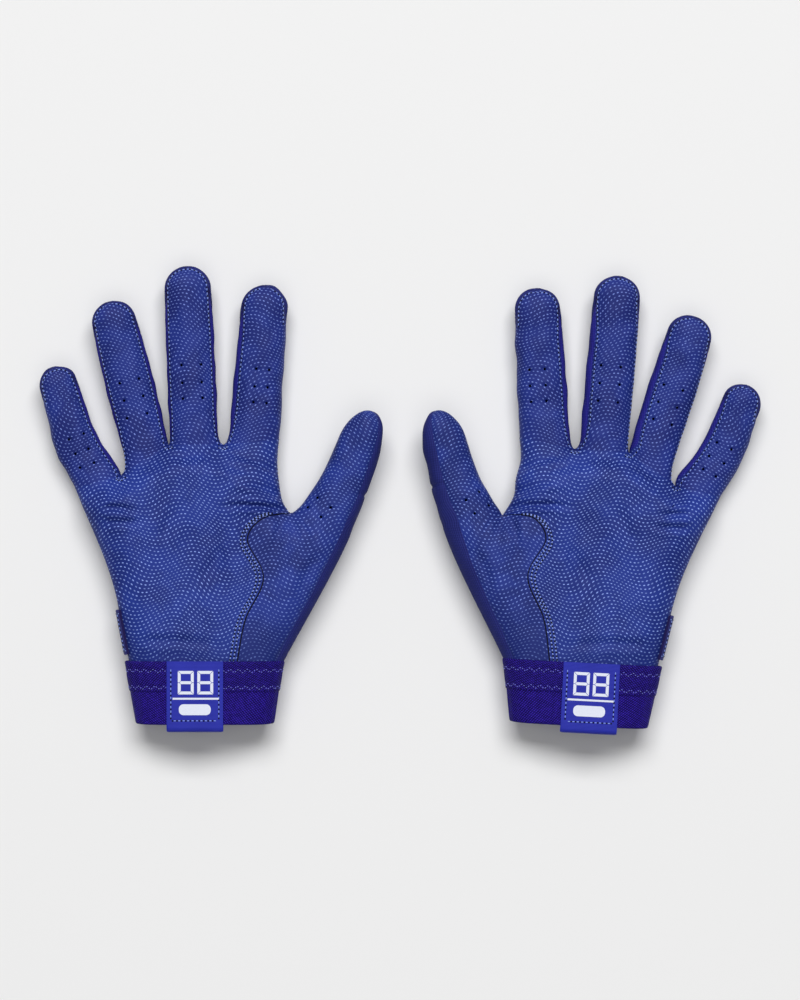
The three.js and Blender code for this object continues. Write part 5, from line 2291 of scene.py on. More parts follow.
class Cuff:
    """The elastic cuff: a stitched hem and a twill band, in one closed sleeve."""

    ARC_STEPS = 16
    FLAT_STEPS = 30
    BAND_ROWS = 14
    INNER_ROWS = 8
    ZIGZAG_POINTS = 900
    OUTSIDE = 1.0
    GATHERS = 34
    GATHER_SWAY = 1.4
    GATHER_SWAYS = 5
    GATHER_DEPTHS = (0.06, 0.1)
    WAVES = 11
    WAVE_SLANT = 6
    WAVE_DEPTH = 0.12
    HEM_FADE = 3.0
    ROW_DEPTH = 0.3
    ROW_WIDTH = 1.1
    CORNER_RUN = 7.0
    CORNER_POWER = 5

    def __init__(self, size: CuffSize, hand: HandSize) -> None:
        """Lays out the loop round the wrist.

        Args:
            size: the cuff's sizes.
            hand: the hand's sizes.
        """
        self.size, self.hand = size, hand
        flat = hand.wrist_width / 2 - hand.edge_round
        arcs = np.linspace(0, QUARTER, self.ARC_STEPS + 1)
        runs = np.linspace(flat, -flat, self.FLAT_STEPS + 1)[1:-1]
        turns = [arcs, np.full(len(runs), QUARTER), arcs + QUARTER, arcs + 2 * QUARTER,
                 np.full(len(runs), 3 * QUARTER), arcs[:-1] + 3 * QUARTER]
        sides = [np.full(len(arcs), flat), runs, np.full(len(arcs), -flat), np.full(len(arcs), -flat),
                 -runs, np.full(len(arcs) - 1, flat)]
        keep = np.ones(sum(len(t) for t in turns), bool)
        keep[2 * len(arcs) + len(runs)] = False
        self.turns, self.sides = np.concatenate(turns)[keep], np.concatenate(sides)[keep]
        section = np.stack(self.section(0.0), axis=-1)
        self.around = arc_lengths(np.concatenate([section, section[:1]]))

    def section(self, lift: float) -> tuple[Array, Array]:
        """Returns the wrist's loop, grown by a lift, as x and z."""
        x = self.sides + (self.hand.edge_round + lift) * np.cos(self.turns)
        return x, self.hand.wrist_level + (self.hand.wrist_rise + lift) * np.sin(self.turns)

    def loop(self, y: float, lift: float) -> Array:
        """Draws the loop at one height, drawn in by gathers and rows of stitches.

        Args:
            y: the height above the wrist line.
            lift: how far it lies outside the hand.

        Returns:
            The loop's points.
        """
        size = self.size
        low = 1 - smoothstep(y, -size.hem - self.HEM_FADE, -size.hem)
        around = self.around[:-1] / self.around[-1] * TURN
        fine, more = self.GATHER_DEPTHS
        sway = self.GATHER_SWAY * np.sin(around * self.GATHER_SWAYS)
        gather = np.sin(around * self.GATHERS + sway) * (fine + more * low)
        gather = gather + self.WAVE_DEPTH * np.sin(around * self.WAVES + y / self.WAVE_SLANT)
        pressed = sum(bell(y - row, self.ROW_WIDTH) for row in size.rows)
        x, z = self.section(lift + (gather - self.ROW_DEPTH * pressed) * (lift > self.OUTSIDE))
        drop = 1 - smoothstep(y, -size.length, -size.length + self.CORNER_RUN)
        rise = size.corner * drop * np.abs(np.cos(self.turns)) ** self.CORNER_POWER
        return np.stack([x * cuff_scale(y), y + rise, z], axis=-1)

    def profile(self) -> list[Pair]:
        """Draws the wall: down the outside, round the lower edge and up the inside.

        Returns:
            Heights above the wrist line, each with its lift.
        """
        s, end = self.size, -self.size.length
        top = [(0.0, 1.1), (-0.25, 1.65), (-0.8, s.hem_lift)]
        hem = [(y, s.hem_lift) for y in np.linspace(-1.8, -s.hem + 0.4, self.BAND_ROWS)]
        step = [(-s.hem - 0.1, s.hem_lift - 0.1), (-s.hem - 0.3, s.elastic_lift)]
        band = [(y, s.elastic_lift) for y in np.linspace(-s.hem - 1.2, end + 1.2, self.BAND_ROWS)]
        edge = [(end + 0.4, 1.35), (end + 0.08, 1.05), (end, 0.8), (end + 0.3, 0.45)]
        inner = [(y, s.inside) for y in np.linspace(end + 1.5, -0.3, self.INNER_ROWS)]
        return top + hem + step + band + edge + inner

    def dress(self, place: Placement) -> None:
        """Makes the cuff's mesh and sets it on the hand.

        Args:
            place: where the glove lies.
        """
        profile, draft = self.profile(), Draft()
        points = np.array([self.loop(y, lift) for y, lift in profile])
        rows, columns = points.shape[:2]
        run = arc_lengths(np.array([*profile, profile[0]]))
        faces: tuple[list, list] = ([], [])
        cloth: tuple[list, list] = ([], [])
        for i, (y, lift) in enumerate(profile):
            kind = int(y < -self.size.hem and lift > self.OUTSIDE)
            here, below = i * columns, (i + 1) % rows * columns
            for j in range(columns):
                beside = (j + 1) % columns
                faces[kind].append([here + j, here + beside, below + beside, below + j])
                u, v = self.around[j:j + 2], run[i:i + 2]
                cloth[kind].append([(u[0], v[0]), (u[1], v[0]), (u[1], v[1]), (u[0], v[1])])
        draft.add(points.reshape(-1, 3), faces[0], cloth[0])
        draft.add_faces(faces[1], cloth[1], 1)
        made = draft.to_object("cuff", place, (HEM, TWILL))
        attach(made, f"{place.prefix}_hand")
        stand_in(made, f"{place.prefix}_cuff")

    def stitch(self, rows: Stitching) -> None:
        """Lays the hem's two zigzag rows of stitches round the cuff.

        Args:
            rows: takes the stitches.
        """
        around = np.linspace(0, self.around[-1], self.ZIGZAG_POINTS)
        share = np.abs(np.mod(around / self.size.zigzag, 1) * 2 - 1)[:, None]

        def loop_at(y: float) -> Array:
            """Draws the hem's outside at one height, closely spaced.

            Args:
                y: the height above the wrist line.

            Returns:
                The loop's points.
            """
            line = self.loop(y, self.size.hem_lift)
            closed = np.concatenate([line, line[:1]])
            return values_at(around, self.around, closed)

        swing = self.size.zigzag_height
        for y in self.size.rows:
            line = lerp(loop_at(y - swing), loop_at(y + swing), share)
            level = loop_at(y)
            ahead = np.roll(level, -1, axis=0) - np.roll(level, 1, axis=0)
            rows.row(line, unit(np.cross(ahead, np.array([0.0, -1.0, 0.0]))))


class Segment(Enum):
    """The strokes of a seven-stroke digit: which shape each has, and its side across and up."""

    TOP = ("bar", 1, 1)
    UPPER_LEFT = ("post", 1, 1)
    UPPER_RIGHT = ("post", -1, 1)
    MIDDLE = ("middle", 1, 1)
    LOWER_LEFT = ("post", 1, -1)
    LOWER_RIGHT = ("post", -1, -1)
    BOTTOM = ("bar", 1, -1)


@dataclass(frozen=True)
class Digit:
    """A seven-stroke digit in a box, with every stroke drawn."""

    left: float
    bottom: float
    width: float = 7.6
    height: float = 11.2
    stroke: float = 1.4
    gap: float = 0.14

    def outline(self, segment: Segment) -> list[Pair]:
        """Draws one stroke.

        Args:
            segment: which stroke.

        Returns:
            Its corners, anticlockwise.
        """
        w, h, t, m, g = self.width / 2, self.height / 2, self.stroke, self.stroke / 2, self.gap
        inner, lower = w - t - g, h - t
        shapes = {
            "bar": [(g - w, h), (-inner, lower), (inner, lower), (w - g, h)],
            "post": [(-w, h - g), (-w, g), (m - w, g), (t - w, m + g), (t - w, lower - g)],
            "middle": [(m + g - w, 0), (-inner, -m), (inner, -m), (w - m - g, 0), (inner, m), (-inner, m)],
        }
        shape, across, up = segment.value
        corners = [(self.left + w + across * x, self.bottom + h + up * y) for x, y in shapes[shape]]
        return corners if across == up else corners[::-1]


@dataclass(frozen=True)
class TabSize:
    """The pull tab's sizes and its print's places."""

    width: float = 27.0
    offset: float = -4.2
    drop: float = 3.4
    wall: float = 1.1
    top: float = 28.55
    inside: float = 24.1
    inner_end: float = -15.0
    digits: tuple[Pair, ...] = ((-12.3, -15.7), (-3.0, -15.7))
    line: tuple[float, float, float, float] = (-14.8, 7.2, -18.2, -17.3)
    bar: tuple[float, float, float, float] = (-11.8, 3.4, -25.6, -20.4)
    bar_corner: float = 2.2
    print_shift: float = 0.2
    print_sink: float = 0.06
    print_rise: float = 0.07
    stitch_inset: float = 2.1
    stitch_end: float = -27.8
    groove: Pair = (0.22, 0.7)
    round_edge: Pair = (0.3, 0.35)


class PullTab:
    """The tape tab folded round the cuff's lower edge, with its print and stitches."""

    FRONT_ROWS = 30
    FOLD_ROWS = 15
    BACK_ROWS = 14
    COLUMNS = 29
    MARGIN = 3
    CORNER_STEPS = 6

    def __init__(self, size: TabSize, cuff: CuffSize) -> None:
        """Draws the tab's path from the side.

        Args:
            size: the tab's sizes.
            cuff: the cuff's sizes.
        """
        self.size = size
        bend = (size.top - size.inside) / 2
        fold = -cuff.length - size.drop + bend
        front = [(y, size.top) for y in np.linspace(0, fold, self.FRONT_ROWS)]
        turns = np.linspace(QUARTER, -QUARTER, self.FOLD_ROWS)[1:]
        round_end = [(fold - bend * math.cos(a), size.inside + bend + bend * math.sin(a)) for a in turns]
        back = [(y, size.inside) for y in np.linspace(fold, size.inner_end, self.BACK_ROWS)[1:]]
        self.path = np.array([*front, *round_end, *back])

    def patch(self) -> Patch:
        """Makes the tab's outside, a little pillowed between its stitches.

        Returns:
            The panel.
        """
        size, rows = self.size, len(self.path)
        xs = size.offset + size.width / 2 * np.linspace(1, -1, self.COLUMNS)
        across = np.repeat(xs[None], rows, 0)
        y, z, run = (np.repeat(a[:, None], self.COLUMNS, 1) for a in (*self.path.T, arc_lengths(self.path)))
        made = Patch("pull_tab", np.stack([across, y, z], axis=-1), np.stack([across, run], axis=-1),
                     False, size.wall)
        share_normals([made])
        inset = np.minimum(np.abs(across - xs[0]), np.abs(across - xs[-1]))
        (depth, width), (fall, reach) = size.groove, size.round_edge
        groove = bell(inset - size.stitch_inset, width) * (y > size.stitch_end)
        made.move(-depth * groove - fall * np.exp(-inset / reach))
        share_normals([made])
        return made

    def dress(self, place: Placement) -> Patch:
        """Makes the tab and its print and sets them on the hand.

        Args:
            place: where the glove lies.

        Returns:
            The tab's outside.
        """
        patch = self.patch()
        made = Shell(patch).draft().to_object("pull_tab", place, (TAPE, TAPE))
        printed = self.print_draft(place.mirrored).to_object("tab_print", place, (PRINT,), False)
        for piece in (made, printed):
            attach(piece, f"{place.prefix}_hand")
        stand_in(made, f"{place.prefix}_pull_tab")
        report(printed)
        return patch

    def print_draft(self, mirrored: bool) -> Draft:
        """Returns the print: two digits with every stroke, a line and a plain bar.

        Args:
            mirrored: whether the glove is the mirrored one, whose print is not mirrored.

        Returns:
            Thin raised shapes on the tab's front.
        """
        size, draft = self.size, Draft()
        shapes = [Digit(*place).outline(segment) for place in size.digits for segment in Segment]
        x0, x1, y0, y1 = size.line
        shapes.append([(x0, y0), (x1, y0), (x1, y1), (x0, y1)])
        shapes.append(self.rounded(*size.bar, size.bar_corner))
        for shape in shapes:
            outline = np.array(shape)
            if mirrored:
                outline[:, 0] = 2 * size.offset + size.print_shift - outline[:, 0]
                outline = outline[::-1]
            self.raise_shape(draft, outline)
        return draft

    @classmethod
    def rounded(cls, x0: float, x1: float, y0: float, y1: float, radius: float) -> list[Pair]:
        """Draws a rounded rectangle.

        Args:
            x0: its left side.
            x1: its right side.
            y0: its lower side.
            y1: its upper side.
            radius: its corners' radius.

        Returns:
            Its outline, anticlockwise.
        """
        left, right, low, high = x0 + radius, x1 - radius, y0 + radius, y1 - radius
        centres = ((right, low, -1), (right, high, 0), (left, high, 1), (left, low, 2))
        turns = [(x, y, (q + k / cls.CORNER_STEPS) * QUARTER)
                 for x, y, q in centres for k in range(cls.CORNER_STEPS + 1)]
        return [(x + radius * math.cos(a), y + radius * math.sin(a)) for x, y, a in turns]

    def raise_shape(self, draft: Draft, outline: Array) -> None:
        """Adds one flat shape of the print, a little above the tape.

        Args:
            draft: takes the shape.
            outline: the shape's corners, anticlockwise.
        """
        count, size = len(outline), self.size
        levels = (size.top + size.print_rise, size.top - size.print_sink)
        points = np.concatenate([np.column_stack([outline, np.full(count, z)]) for z in levels])
        top = [list(range(count))]
        bottom = [list(range(2 * count - 1, count - 1, -1))]
        sides = [[k, k + count, (k + 1) % count + count, (k + 1) % count] for k in range(count)]
        faces = top + bottom + sides
        draft.add(points, faces, [points[face][:, :2] for face in faces])

    def stitch(self, rows: Stitching, patch: Patch) -> None:
        """Lays the tab's two columns and its lower row of stitches.

        Args:
            rows: takes the stitches.
            patch: the tab's outside.
        """
        size, margin = self.size, self.MARGIN
        last = int(np.argmin(np.abs(self.path[:self.FRONT_ROWS, 0] - size.stitch_end)))
        for edge in Edge:
            rows.row(*patch.inset(edge, size.stitch_inset, slice(margin, last)))
        rows.row(patch.points[last, margin:-margin], patch.normals[last, margin:-margin])


@dataclass(frozen=True)
class ClosureSize:
    """The closure's sizes on the back of the wrist."""

    width: float = 22.0
    start: float = 3.0
    reach: float = 62.0
    corner: float = 5.0
    run_in: float = 4.0
    pull: float = 0.33
    fold: float = math.radians(47)
    front: float = math.radians(26)
    wall: float = 1.4
    lift: float = 1.75
    hook: tuple[float, float, float] = (32.0, 56.0, 1.75)
    loop: tuple[float, float, float] = (20.0, 56.0, 3.0)
    pad_inset: float = 2.0
    pad_corner: float = 3.0
    pad_wall: float = 0.45
    pad_thick: float = 0.9
    level: float = 0.05
    stitch_inset: float = 2.0
    groove: Pair = (0.2, 0.7)
    round_edge: Pair = (0.3, 0.4)
    hinge: Pair = (-0.5, 7.0)
    filament_radius: float = 0.3
    filament_thick: float = 0.07
    filament_jitter: float = 0.25
    filament_reach: float = 0.75


class Closure:
    """The strap that closes the wrist: its anchor, the strap, and the hook and loop tapes."""

    COLUMNS = 25
    ANCHOR_ROWS = 34
    CURVE_ROWS = 22
    STRAIGHT_ROWS = 40
    END_ROWS = 9
    END_TURN = QUARTER * 0.97
    FOLD_STEP = 0.02
    PAD_ROWS = 16
    PAD_TURNS = np.linspace(0.12, 1, 6) * QUARTER
    FILAMENT_SEED = 11
    ANCHOR_ROW = 4
    STRAP_ROW = -6

    def __init__(self, size: ClosureSize, hand: HandSize) -> None:
        """Lays out the closure's frame on the little-finger side of the wrist.

        Args:
            size: the closure's sizes.
            hand: the hand's sizes.
        """
        self.size, self.hand = size, hand
        up = size.start + size.width / 2
        flare = hand.flare
        self.origin = np.array([-hand.wrist_width / 2 - up * math.sin(flare), up * math.cos(flare)])
        self.across = np.array([math.cos(flare), math.sin(flare)])
        self.along = np.array([-math.sin(flare), math.cos(flare)])

    def to_glove(self, x: Array, y: Array, z: Array) -> Array:
        """Returns points of the closure's frame in the glove's frame."""
        return raised(self.origin + x[..., None] * self.across + y[..., None] * self.along, z)

    def side(self, angle: Array, lift: float) -> Array:
        """Finds points on the wrist's round side.

        Args:
            angle: 0 at the side's middle, growing to the back.
            lift: how far they lie outside it.

        Returns:
            The points, as x and z.
        """
        hand = self.hand
        x = hand.edge_round - (hand.edge_round + lift) * np.cos(angle)
        return np.stack([x, hand.wrist_level - (hand.wrist_rise + lift) * np.sin(angle)], axis=-1)

    def band(self, name: str, path: Array, halves: Array, wall: float, flipped: bool = False) -> Patch:
        """Returns a band of cloth along a path.

        Args:
            name: the piece's name.
            path: its outside as x and z.
            halves: half its width at each point of the path.
            wall: its thickness.
            flipped: whether its outside faces up.

        Returns:
            The band with its edges rounded over.
        """
        size, shares = self.size, np.linspace(-1, 1, self.COLUMNS)
        x, z, run = (np.repeat(a[:, None], self.COLUMNS, 1) for a in (*path.T, arc_lengths(path)))
        y = halves[:, None] * shares[None]
        made = Patch(name, self.to_glove(x, y, z), np.stack([y, run], axis=-1), flipped, wall)
        share_normals([made])
        inset = halves[:, None] - np.abs(y)
        (depth, width), (fall, reach) = size.groove, size.round_edge
        groove = bell(inset - size.stitch_inset, width) * (wall == size.wall)
        made.move(-fall * np.exp(-inset / reach) - depth * groove)
        share_normals([made])
        return made

    def anchor(self) -> Patch:
        """Makes the part of the strap that is sewn to the wrist's side.

        Returns:
            The panel.
        """
        size = self.size
        path = self.side(np.linspace(-size.front, size.fold, self.ANCHOR_ROWS), size.lift)
        return self.band("strap_anchor", path, np.full(len(path), size.width / 2), size.wall)

    def strap(self) -> Patch:
        """Makes the strap from its fold to its round-cornered end.

        Returns:
            The panel.
        """
        size = self.size
        path = self.side(np.array([size.fold, size.fold + self.FOLD_STEP]), size.lift)
        flat = np.array([self.hand.edge_round + size.run_in, size.level])
        pull = np.linalg.norm(flat - path[0]) * size.pull
        heading = unit(path[1] - path[0])
        curve = Bezier(np.array([path[0], path[0] + heading * pull, flat - [pull, 0], flat]))
        bend = size.reach - size.corner
        straight = np.linspace(flat[0], bend, self.STRAIGHT_ROWS)[1:]
        turns = np.linspace(0, self.END_TURN, self.END_ROWS)[1:]
        xs = np.concatenate([straight, bend + size.corner * np.sin(turns)])
        level = np.column_stack([xs, np.full(len(xs), flat[1])])
        whole = np.concatenate([curve.at(np.linspace(0, 1, self.CURVE_ROWS)), level])
        halves = np.full(len(whole), size.width / 2)
        halves[-len(turns):] -= size.corner * (1 - np.cos(turns))
        return self.band("closure_strap", whole, halves, size.wall)

    def pad(self, name: str, ends: tuple[float, float, float], up: bool) -> Patch:
        """Makes a hook or loop tape's ground with round corners.

        Args:
            name: the piece's name.
            ends: its first and last x, and its level.
            up: whether it faces up.

        Returns:
            The panel.
        """
        size, turns = self.size, self.PAD_TURNS
        x0, x1, z = ends
        corner = size.pad_corner
        first = x0 + corner - corner * np.cos(turns)
        middle = np.linspace(x0 + corner, x1 - corner, self.PAD_ROWS + 2)[1:-1]
        xs = np.concatenate([first, middle, x1 - corner + corner * np.cos(turns[::-1])])
        drawn = corner * (1 - np.sin(turns))
        halves = size.width / 2 - size.pad_inset - np.concatenate([drawn, np.zeros(len(middle)), drawn[::-1]])
        level = z + (size.pad_wall if up else size.pad_thick - size.pad_wall)
        return self.band(name, np.column_stack([xs, np.full(len(xs), level)]), halves, size.pad_wall, up)

    def filaments(self, patch: Patch, pitch: float, seed: int) -> tuple[Array, Array, Array]:
        """Spreads filaments over a tape.

        Args:
            patch: the tape's ground.
            pitch: the distance between filaments.
            seed: fixes their turns.

        Returns:
            Their points, the ways they lie and the ways they stand.
        """
        size, rng = self.size, np.random.default_rng(seed)
        grid, ways = (a[1:-1, 2:-2].reshape(-1, 3) for a in (patch.points, patch.normals))
        low, high = grid.min(axis=0), grid.max(axis=0)
        xs, ys = np.arange(low[0], high[0], pitch), np.arange(low[1], high[1], pitch)
        spots = np.array([(x, y) for x in xs for y in ys])
        spots = spots + rng.uniform(-size.filament_jitter, size.filament_jitter, spots.shape) * pitch
        far = np.linalg.norm(grid[None, :, :2] - spots[:, None], axis=-1)
        kept = far.min(axis=1) < size.filament_reach
        near = far.argmin(axis=1)[kept]
        turns = rng.uniform(0, TURN, len(spots))[kept]
        runs = np.column_stack([np.cos(turns), np.sin(turns), np.zeros(len(turns))])
        return np.column_stack([spots[kept], grid[near, 2]]), runs, ways[near]

    def hinge(self) -> tuple[Array, Array]:
        """Finds where the strap starts to bend and where it has bent.

        Returns:
            The two places, in the glove's frame.
        """
        size = self.size
        fold = self.side(np.array([size.fold]), size.lift)[0]
        marks = np.array([fold + [x, 0.0] for x in size.hinge])
        ends = self.to_glove(marks[:, 0], np.zeros(2), marks[:, 1])
        return ends[0], ends[1]

    def bend(self, made: bpy.types.Object, place: Placement) -> None:
        """Bakes a strap piece into its mesh where it lies; the hinge's places are found but not used."""
        start, end = (tuple(place.world(p)) for p in self.hinge())
        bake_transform(made)

    def dress(self, place: Placement, tree: StitchTree, sprouts: SproutTree) -> None:
        """Makes the closure's pieces and sets them on the hand and the strap; the strap itself and its
        stitches are baked where they lie.

        Args:
            place: where the glove lies.
            tree: lays stitches.
            sprouts: lays filaments.
        """
        size, hand, strap_body = self.size, f"{place.prefix}_hand", f"{place.prefix}_strap"
        anchor, strap = self.anchor(), self.strap()
        hook, loop = self.pad("hook_patch", size.hook, True), self.pad("loop_patch", size.loop, False)
        looks = (
            (anchor, (STRAP_SKIN, KNIT_EDGE), "strap", hand),
            (strap, (STRAP_SKIN, KNIT_EDGE), "strap", None),
            (hook, (HOOKS, HOOKS), "hook", strap_body),
            (loop, (LOOPS, LOOPS), "loop", hand),
        )
        for patch, finishes, slot, body in looks:
            made = Shell(patch).draft().to_object(patch.name, place, finishes)
            stand_in(made, f"{place.prefix}_{patch.name}")
            if body:
                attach(made, body)
            else:
                self.bend(made, place)
        self.sew(place, tree, anchor, strap)
        radius, thickness = size.filament_radius * MM, size.filament_thick * MM
        for patch, name, finish, body, sweep, pitch in (
                (hook, "hook_filaments", HOOKS, strap_body, 4.2, 1.35),
                (loop, "loop_filaments", LOOPS, hand, 3.3, 1.3)):
            values = {"Radius": radius, "Sweep": sweep, "Thickness": thickness, "Filament": finish.material()}
            spread = self.filaments(patch, pitch, self.FILAMENT_SEED)
            made = sprouts.grow(name, place, *spread, values)
            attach(made, body)
            report(made)

    def sew(self, place: Placement, tree: StitchTree, anchor: Patch, strap: Patch) -> None:
        """Lays the stitches along the anchor's and the strap's edges.

        Args:
            place: where the glove lies.
            tree: lays stitches.
            anchor: the anchor's outside.
            strap: the strap's outside.
        """
        inset, end = self.size.stitch_inset, self.STRAP_ROW
        sewn = Stitching(place, "anchor", FINE, tree)
        moving = Stitching(place, "strap", FINE, tree)
        for edge in Edge:
            sewn.row(*anchor.inset(edge, inset))
            moving.row(*strap.inset(edge, inset, slice(2, end)))
        sewn.row(anchor.points[self.ANCHOR_ROW, 2:-2], anchor.normals[self.ANCHOR_ROW, 2:-2])
        moving.row(strap.points[end, 3:-3], strap.normals[end, 3:-3])
        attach(sewn.make(), f"{place.prefix}_hand")
        self.bend(moving.make(), place)


# The pair

class Glove:
    """One glove of the pair: its panels, cuff, tab, closure and stitches."""

    WEB_STITCH = 2.3
    WEB_ARC = np.radians(np.linspace(205, 335, 9))
    STITCH_INSET = 0.95
    SEAM_ROWS = (1.5, 3.3)
    BACK_INSET = 2.0
    SEAM_END_ROWS = 9
    CLOSURE_ROWS = 20
    OVER_TIP = QUARTER * 0.93
    PLAIN_SIDE_ROWS = 6

    def __init__(self, place: Placement, size: HandSize, lies: dict[str, Lie], seed: int) -> None:
        """Lays out the glove's sub-assemblies.

        Args:
            place: where the glove lies.
            size: the hand's sizes.
            lies: how its fingers lie, by name.
            seed: fixes its skins' unevenness.
        """
        self.place = place
        self.hand = Hand(size, lies)
        self.panels = Panels(place, self.hand, seed)
        self.cuff = Cuff(CuffSize(), self.hand.size)
        self.tab = PullTab(TabSize(), self.cuff.size)
        self.closure = Closure(ClosureSize(), self.hand.size)

    def build(self) -> None:
        """Cuts and shapes the panels."""
        self.panels.build()

    def dress(self, tree: StitchTree, sprouts: SproutTree) -> None:
        """Makes every piece and sets it on its body, save the fingers' pieces and the strap, which are baked
        where they lie.

        Args:
            tree: lays stitches.
            sprouts: lays filaments.
        """
        place = self.place
        self.panels.dress()
        self.cuff.dress(place)
        tab = self.tab.dress(place)
        self.closure.dress(place, tree, sprouts)
        hem = Stitching(place, "hem", ZIGZAG, tree)
        self.cuff.stitch(hem)
        tape = Stitching(place, "tab", FINE, tree)
        self.tab.stitch(tape, tab)
        sewn = Stitching(place, "hand", SEAM, tree)
        self.sew_hand(sewn)
        for rows in (hem, tape, sewn):
            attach(rows.make(), f"{place.prefix}_hand")
        for name in (finger.name for finger in self.hand.row_fingers()):
            rows = Stitching(place, name, FINE, tree)
            self.sew_finger(rows, name)
            self.panels.bend(rows.make(), name)

    def sew_hand(self, rows: Stitching) -> None:
        """Sews the wavy seam's two rows, the webs and the edges of the base panels.

        Args:
            rows: takes the stitches.
        """
        patches = self.panels.patches
        palm = patches["palm_leather"]
        lap = len(Hand.LAP)
        seam_rows = slice(lap - 1, lap + Hand.LOW_ROWS - self.SEAM_END_ROWS)
        for distance in self.SEAM_ROWS:
            rows.row(*palm.inset(Edge.LAST_COLUMN, distance, seam_rows))
        back = patches["back_panel"]
        for edge, start in ((Edge.FIRST_COLUMN, lap + self.CLOSURE_ROWS), (Edge.LAST_COLUMN, lap)):
            rows.row(*back.inset(edge, self.BACK_INSET, slice(start, None)))
        ring = self.WEB_STITCH * np.column_stack([np.cos(self.WEB_ARC), np.sin(self.WEB_ARC)])
        for k in range(1, len(FINGER_SIZES)):
            spots = [palm.nearest(palm.points[-1, k * Hand.STRIP, :2] + step) for step in ring]
            rows.row(*(np.array([values[spot] for spot in spots]) for values in (palm.points, palm.normals)))

    def sew_finger(self, rows: Stitching, name: str) -> None:
        """Sews the leather's edges round a finger; an outer side that has no seam is left plain.

        Args:
            rows: takes the stitches.
            name: the finger's name.
        """
        front, sleeve = self.panels.patches[f"{name}_front"], self.panels.sleeves[name]
        side = sleeve.seam_angle(front.runs, Sleeve.SEAM_INSET + self.STITCH_INSET)
        last = int(np.argmax(side > self.OVER_TIP))
        tip, whole = slice(last - Sleeve.TIP_ROWS - self.PLAIN_SIDE_ROWS, last), slice(0, last)
        turned = sleeve.turned(front.runs)
        up, up_ways = front.along_angles(math.pi - side + turned, tip if name == "little" else whole)
        down, down_ways = front.along_angles(side + turned, tip if name == "index" else whole)
        rows.row(np.concatenate([up, down[::-1]]), np.concatenate([up_ways, down_ways[::-1]]))


@dataclass(frozen=True)
class StudioSize:
    """The camera, the lamps and the floor; lengths in metres."""

    distance: float = 2.4
    frame_height: float = 0.48
    focus_level: float = 0.0135
    floor: float = 6.0
    floor_gap: float = 0.0002
    floor_colour: Colour = (240, 240, 240)
    floor_roughness: float = 0.95
    key: tuple[float, float, float] = (0.3, 3.8, 6.5)
    key_size: Pair = (6.0, 2.8)
    key_power: float = 505.0
    top: tuple[float, float, float] = (0.0, -1.2, 6.0)
    top_size: Pair = (5.0, 5.0)
    top_power: float = 80.0
    sky: float = 0.13
    sky_seen: float = 0.87
    sensor: float = 36.0
    far: float = 100.0


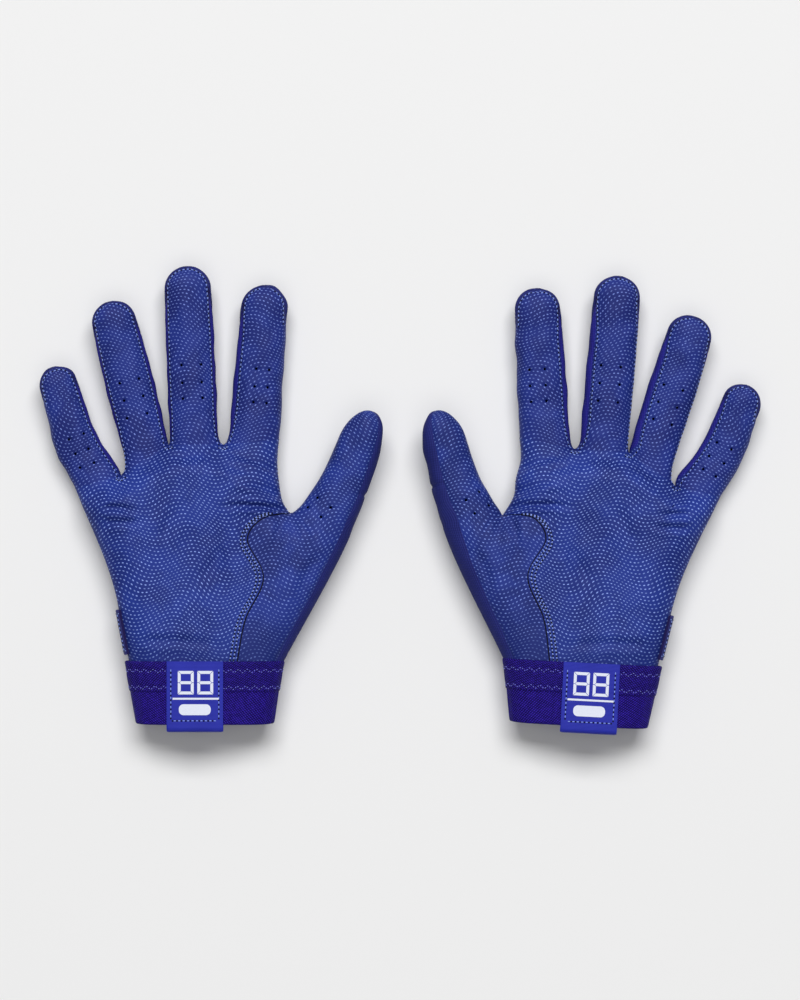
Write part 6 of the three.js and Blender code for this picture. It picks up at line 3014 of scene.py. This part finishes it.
class Studio:
    """A pale floor under soft light, seen from straight above."""

    def __init__(self, size: StudioSize) -> None:
        """Keeps the sizes."""
        self.size = size

    def build(self) -> None:
        """Makes the floor, the lamps, the sky and the camera."""
        size, scene = self.size, bpy.context.scene
        scene.view_settings.view_transform = "Standard"
        half, level = size.floor / 2, -size.floor_gap
        mesh = bpy.data.meshes.new("floor")
        corners = [(x * half, y * half, level) for x, y in ((-1, -1), (1, -1), (1, 1), (-1, 1))]
        mesh.from_pydata(corners, [], [(0, 1, 2, 3)])
        painter = Painter("floor_paper")
        painter.feed("Base Color", linear(size.floor_colour))
        painter.feed("Roughness", size.floor_roughness)
        painter.feed("Specular IOR Level", 0.0)
        mesh.materials.append(painter.material)
        new_object("floor", mesh)
        self.add_lamp("key_softbox", size.key, size.key_size, size.key_power)
        self.add_lamp("top_softbox", size.top, size.top_size, size.top_power)
        self.light_sky()
        self.place_camera()

    @staticmethod
    def add_lamp(name: str, place: tuple[float, float, float], size: Pair, watts: float) -> None:
        """Hangs a lamp of a width and a height that faces the gloves.

        Args:
            name: the lamp's name.
            place: where it hangs, in metres.
            size: its width and height.
            watts: its power.
        """
        data = bpy.data.lights.new(name, "AREA")
        data.shape, data.energy = "RECTANGLE", watts
        data.size, data.size_y = size
        lamp = new_object(name, data)
        lamp.location = place
        lamp.rotation_euler = (-lamp.location).to_track_quat("-Z", "Y").to_euler()

    def light_sky(self) -> None:
        """Lights the scene evenly; the camera sees a pale sky."""
        world = bpy.data.worlds.new("studio")
        world.use_nodes = True
        tree = world.node_tree
        seen = node(tree, "ShaderNodeLightPath", {}, {}, "Is Camera Ray")
        level = seen * (self.size.sky_seen - self.size.sky) + self.size.sky
        background = tree.nodes["Background"]
        background.inputs["Color"].default_value = (1.0, 1.0, 1.0, 1.0)
        tree.links.new(level.socket, background.inputs["Strength"])
        bpy.context.scene.world = world

    def place_camera(self) -> None:
        """Looks straight down with a long lens."""
        size = self.size
        data = bpy.data.cameras.new("camera")
        data.sensor_width = size.sensor
        data.lens = data.sensor_width * size.distance / size.frame_height
        data.clip_end = size.far
        camera = new_object("camera", data)
        camera.location = (0.0, 0.0, size.distance + size.focus_level)
        bpy.context.scene.camera = camera


RIGHT = Placement("right", (-93.68723, -77.03713), 0.0, False)
LEFT = Placement("left", (87.41277, -77.63713), math.radians(-3), True)
RIGHT_LIES = {"index": Lie(roll=-10.0)}
LEFT_HAND = HandSize(
    web_drops=(5.0, 5.3, 5.6), thumb_web_shift=(-1.6, -2.2), thumb_seam=math.radians(66), gusset_show=4.5,
    radial_edge=((36.9, 77.5), (36.2, 86.2)))
LEFT_LIES = {
    "index": Lie(2, -1.6, -9.0),
    "middle": Lie(3.4, -0.4, 15.0),
    "ring": Lie(4, 0.6, 16.0),
    "little": Lie(4, 1.5, 9.0),
    "thumb": Lie(4.2, 2.5),
}


def main() -> None:
    """Builds the pair, dresses it and lights it."""
    logging.basicConfig(level=logging.INFO, format="%(name)s: %(message)s")
    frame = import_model()
    LOG.info("frame: %d nodes", len(frame["nodes"]))
    tree, sprouts = StitchTree(), SproutTree()
    for glove in (Glove(RIGHT, HandSize(), RIGHT_LIES, 3), Glove(LEFT, LEFT_HAND, LEFT_LIES, 8)):
        glove.build()
        glove.dress(tree, sprouts)
    Studio(StudioSize()).build()


if __name__ == "__main__":
    main()
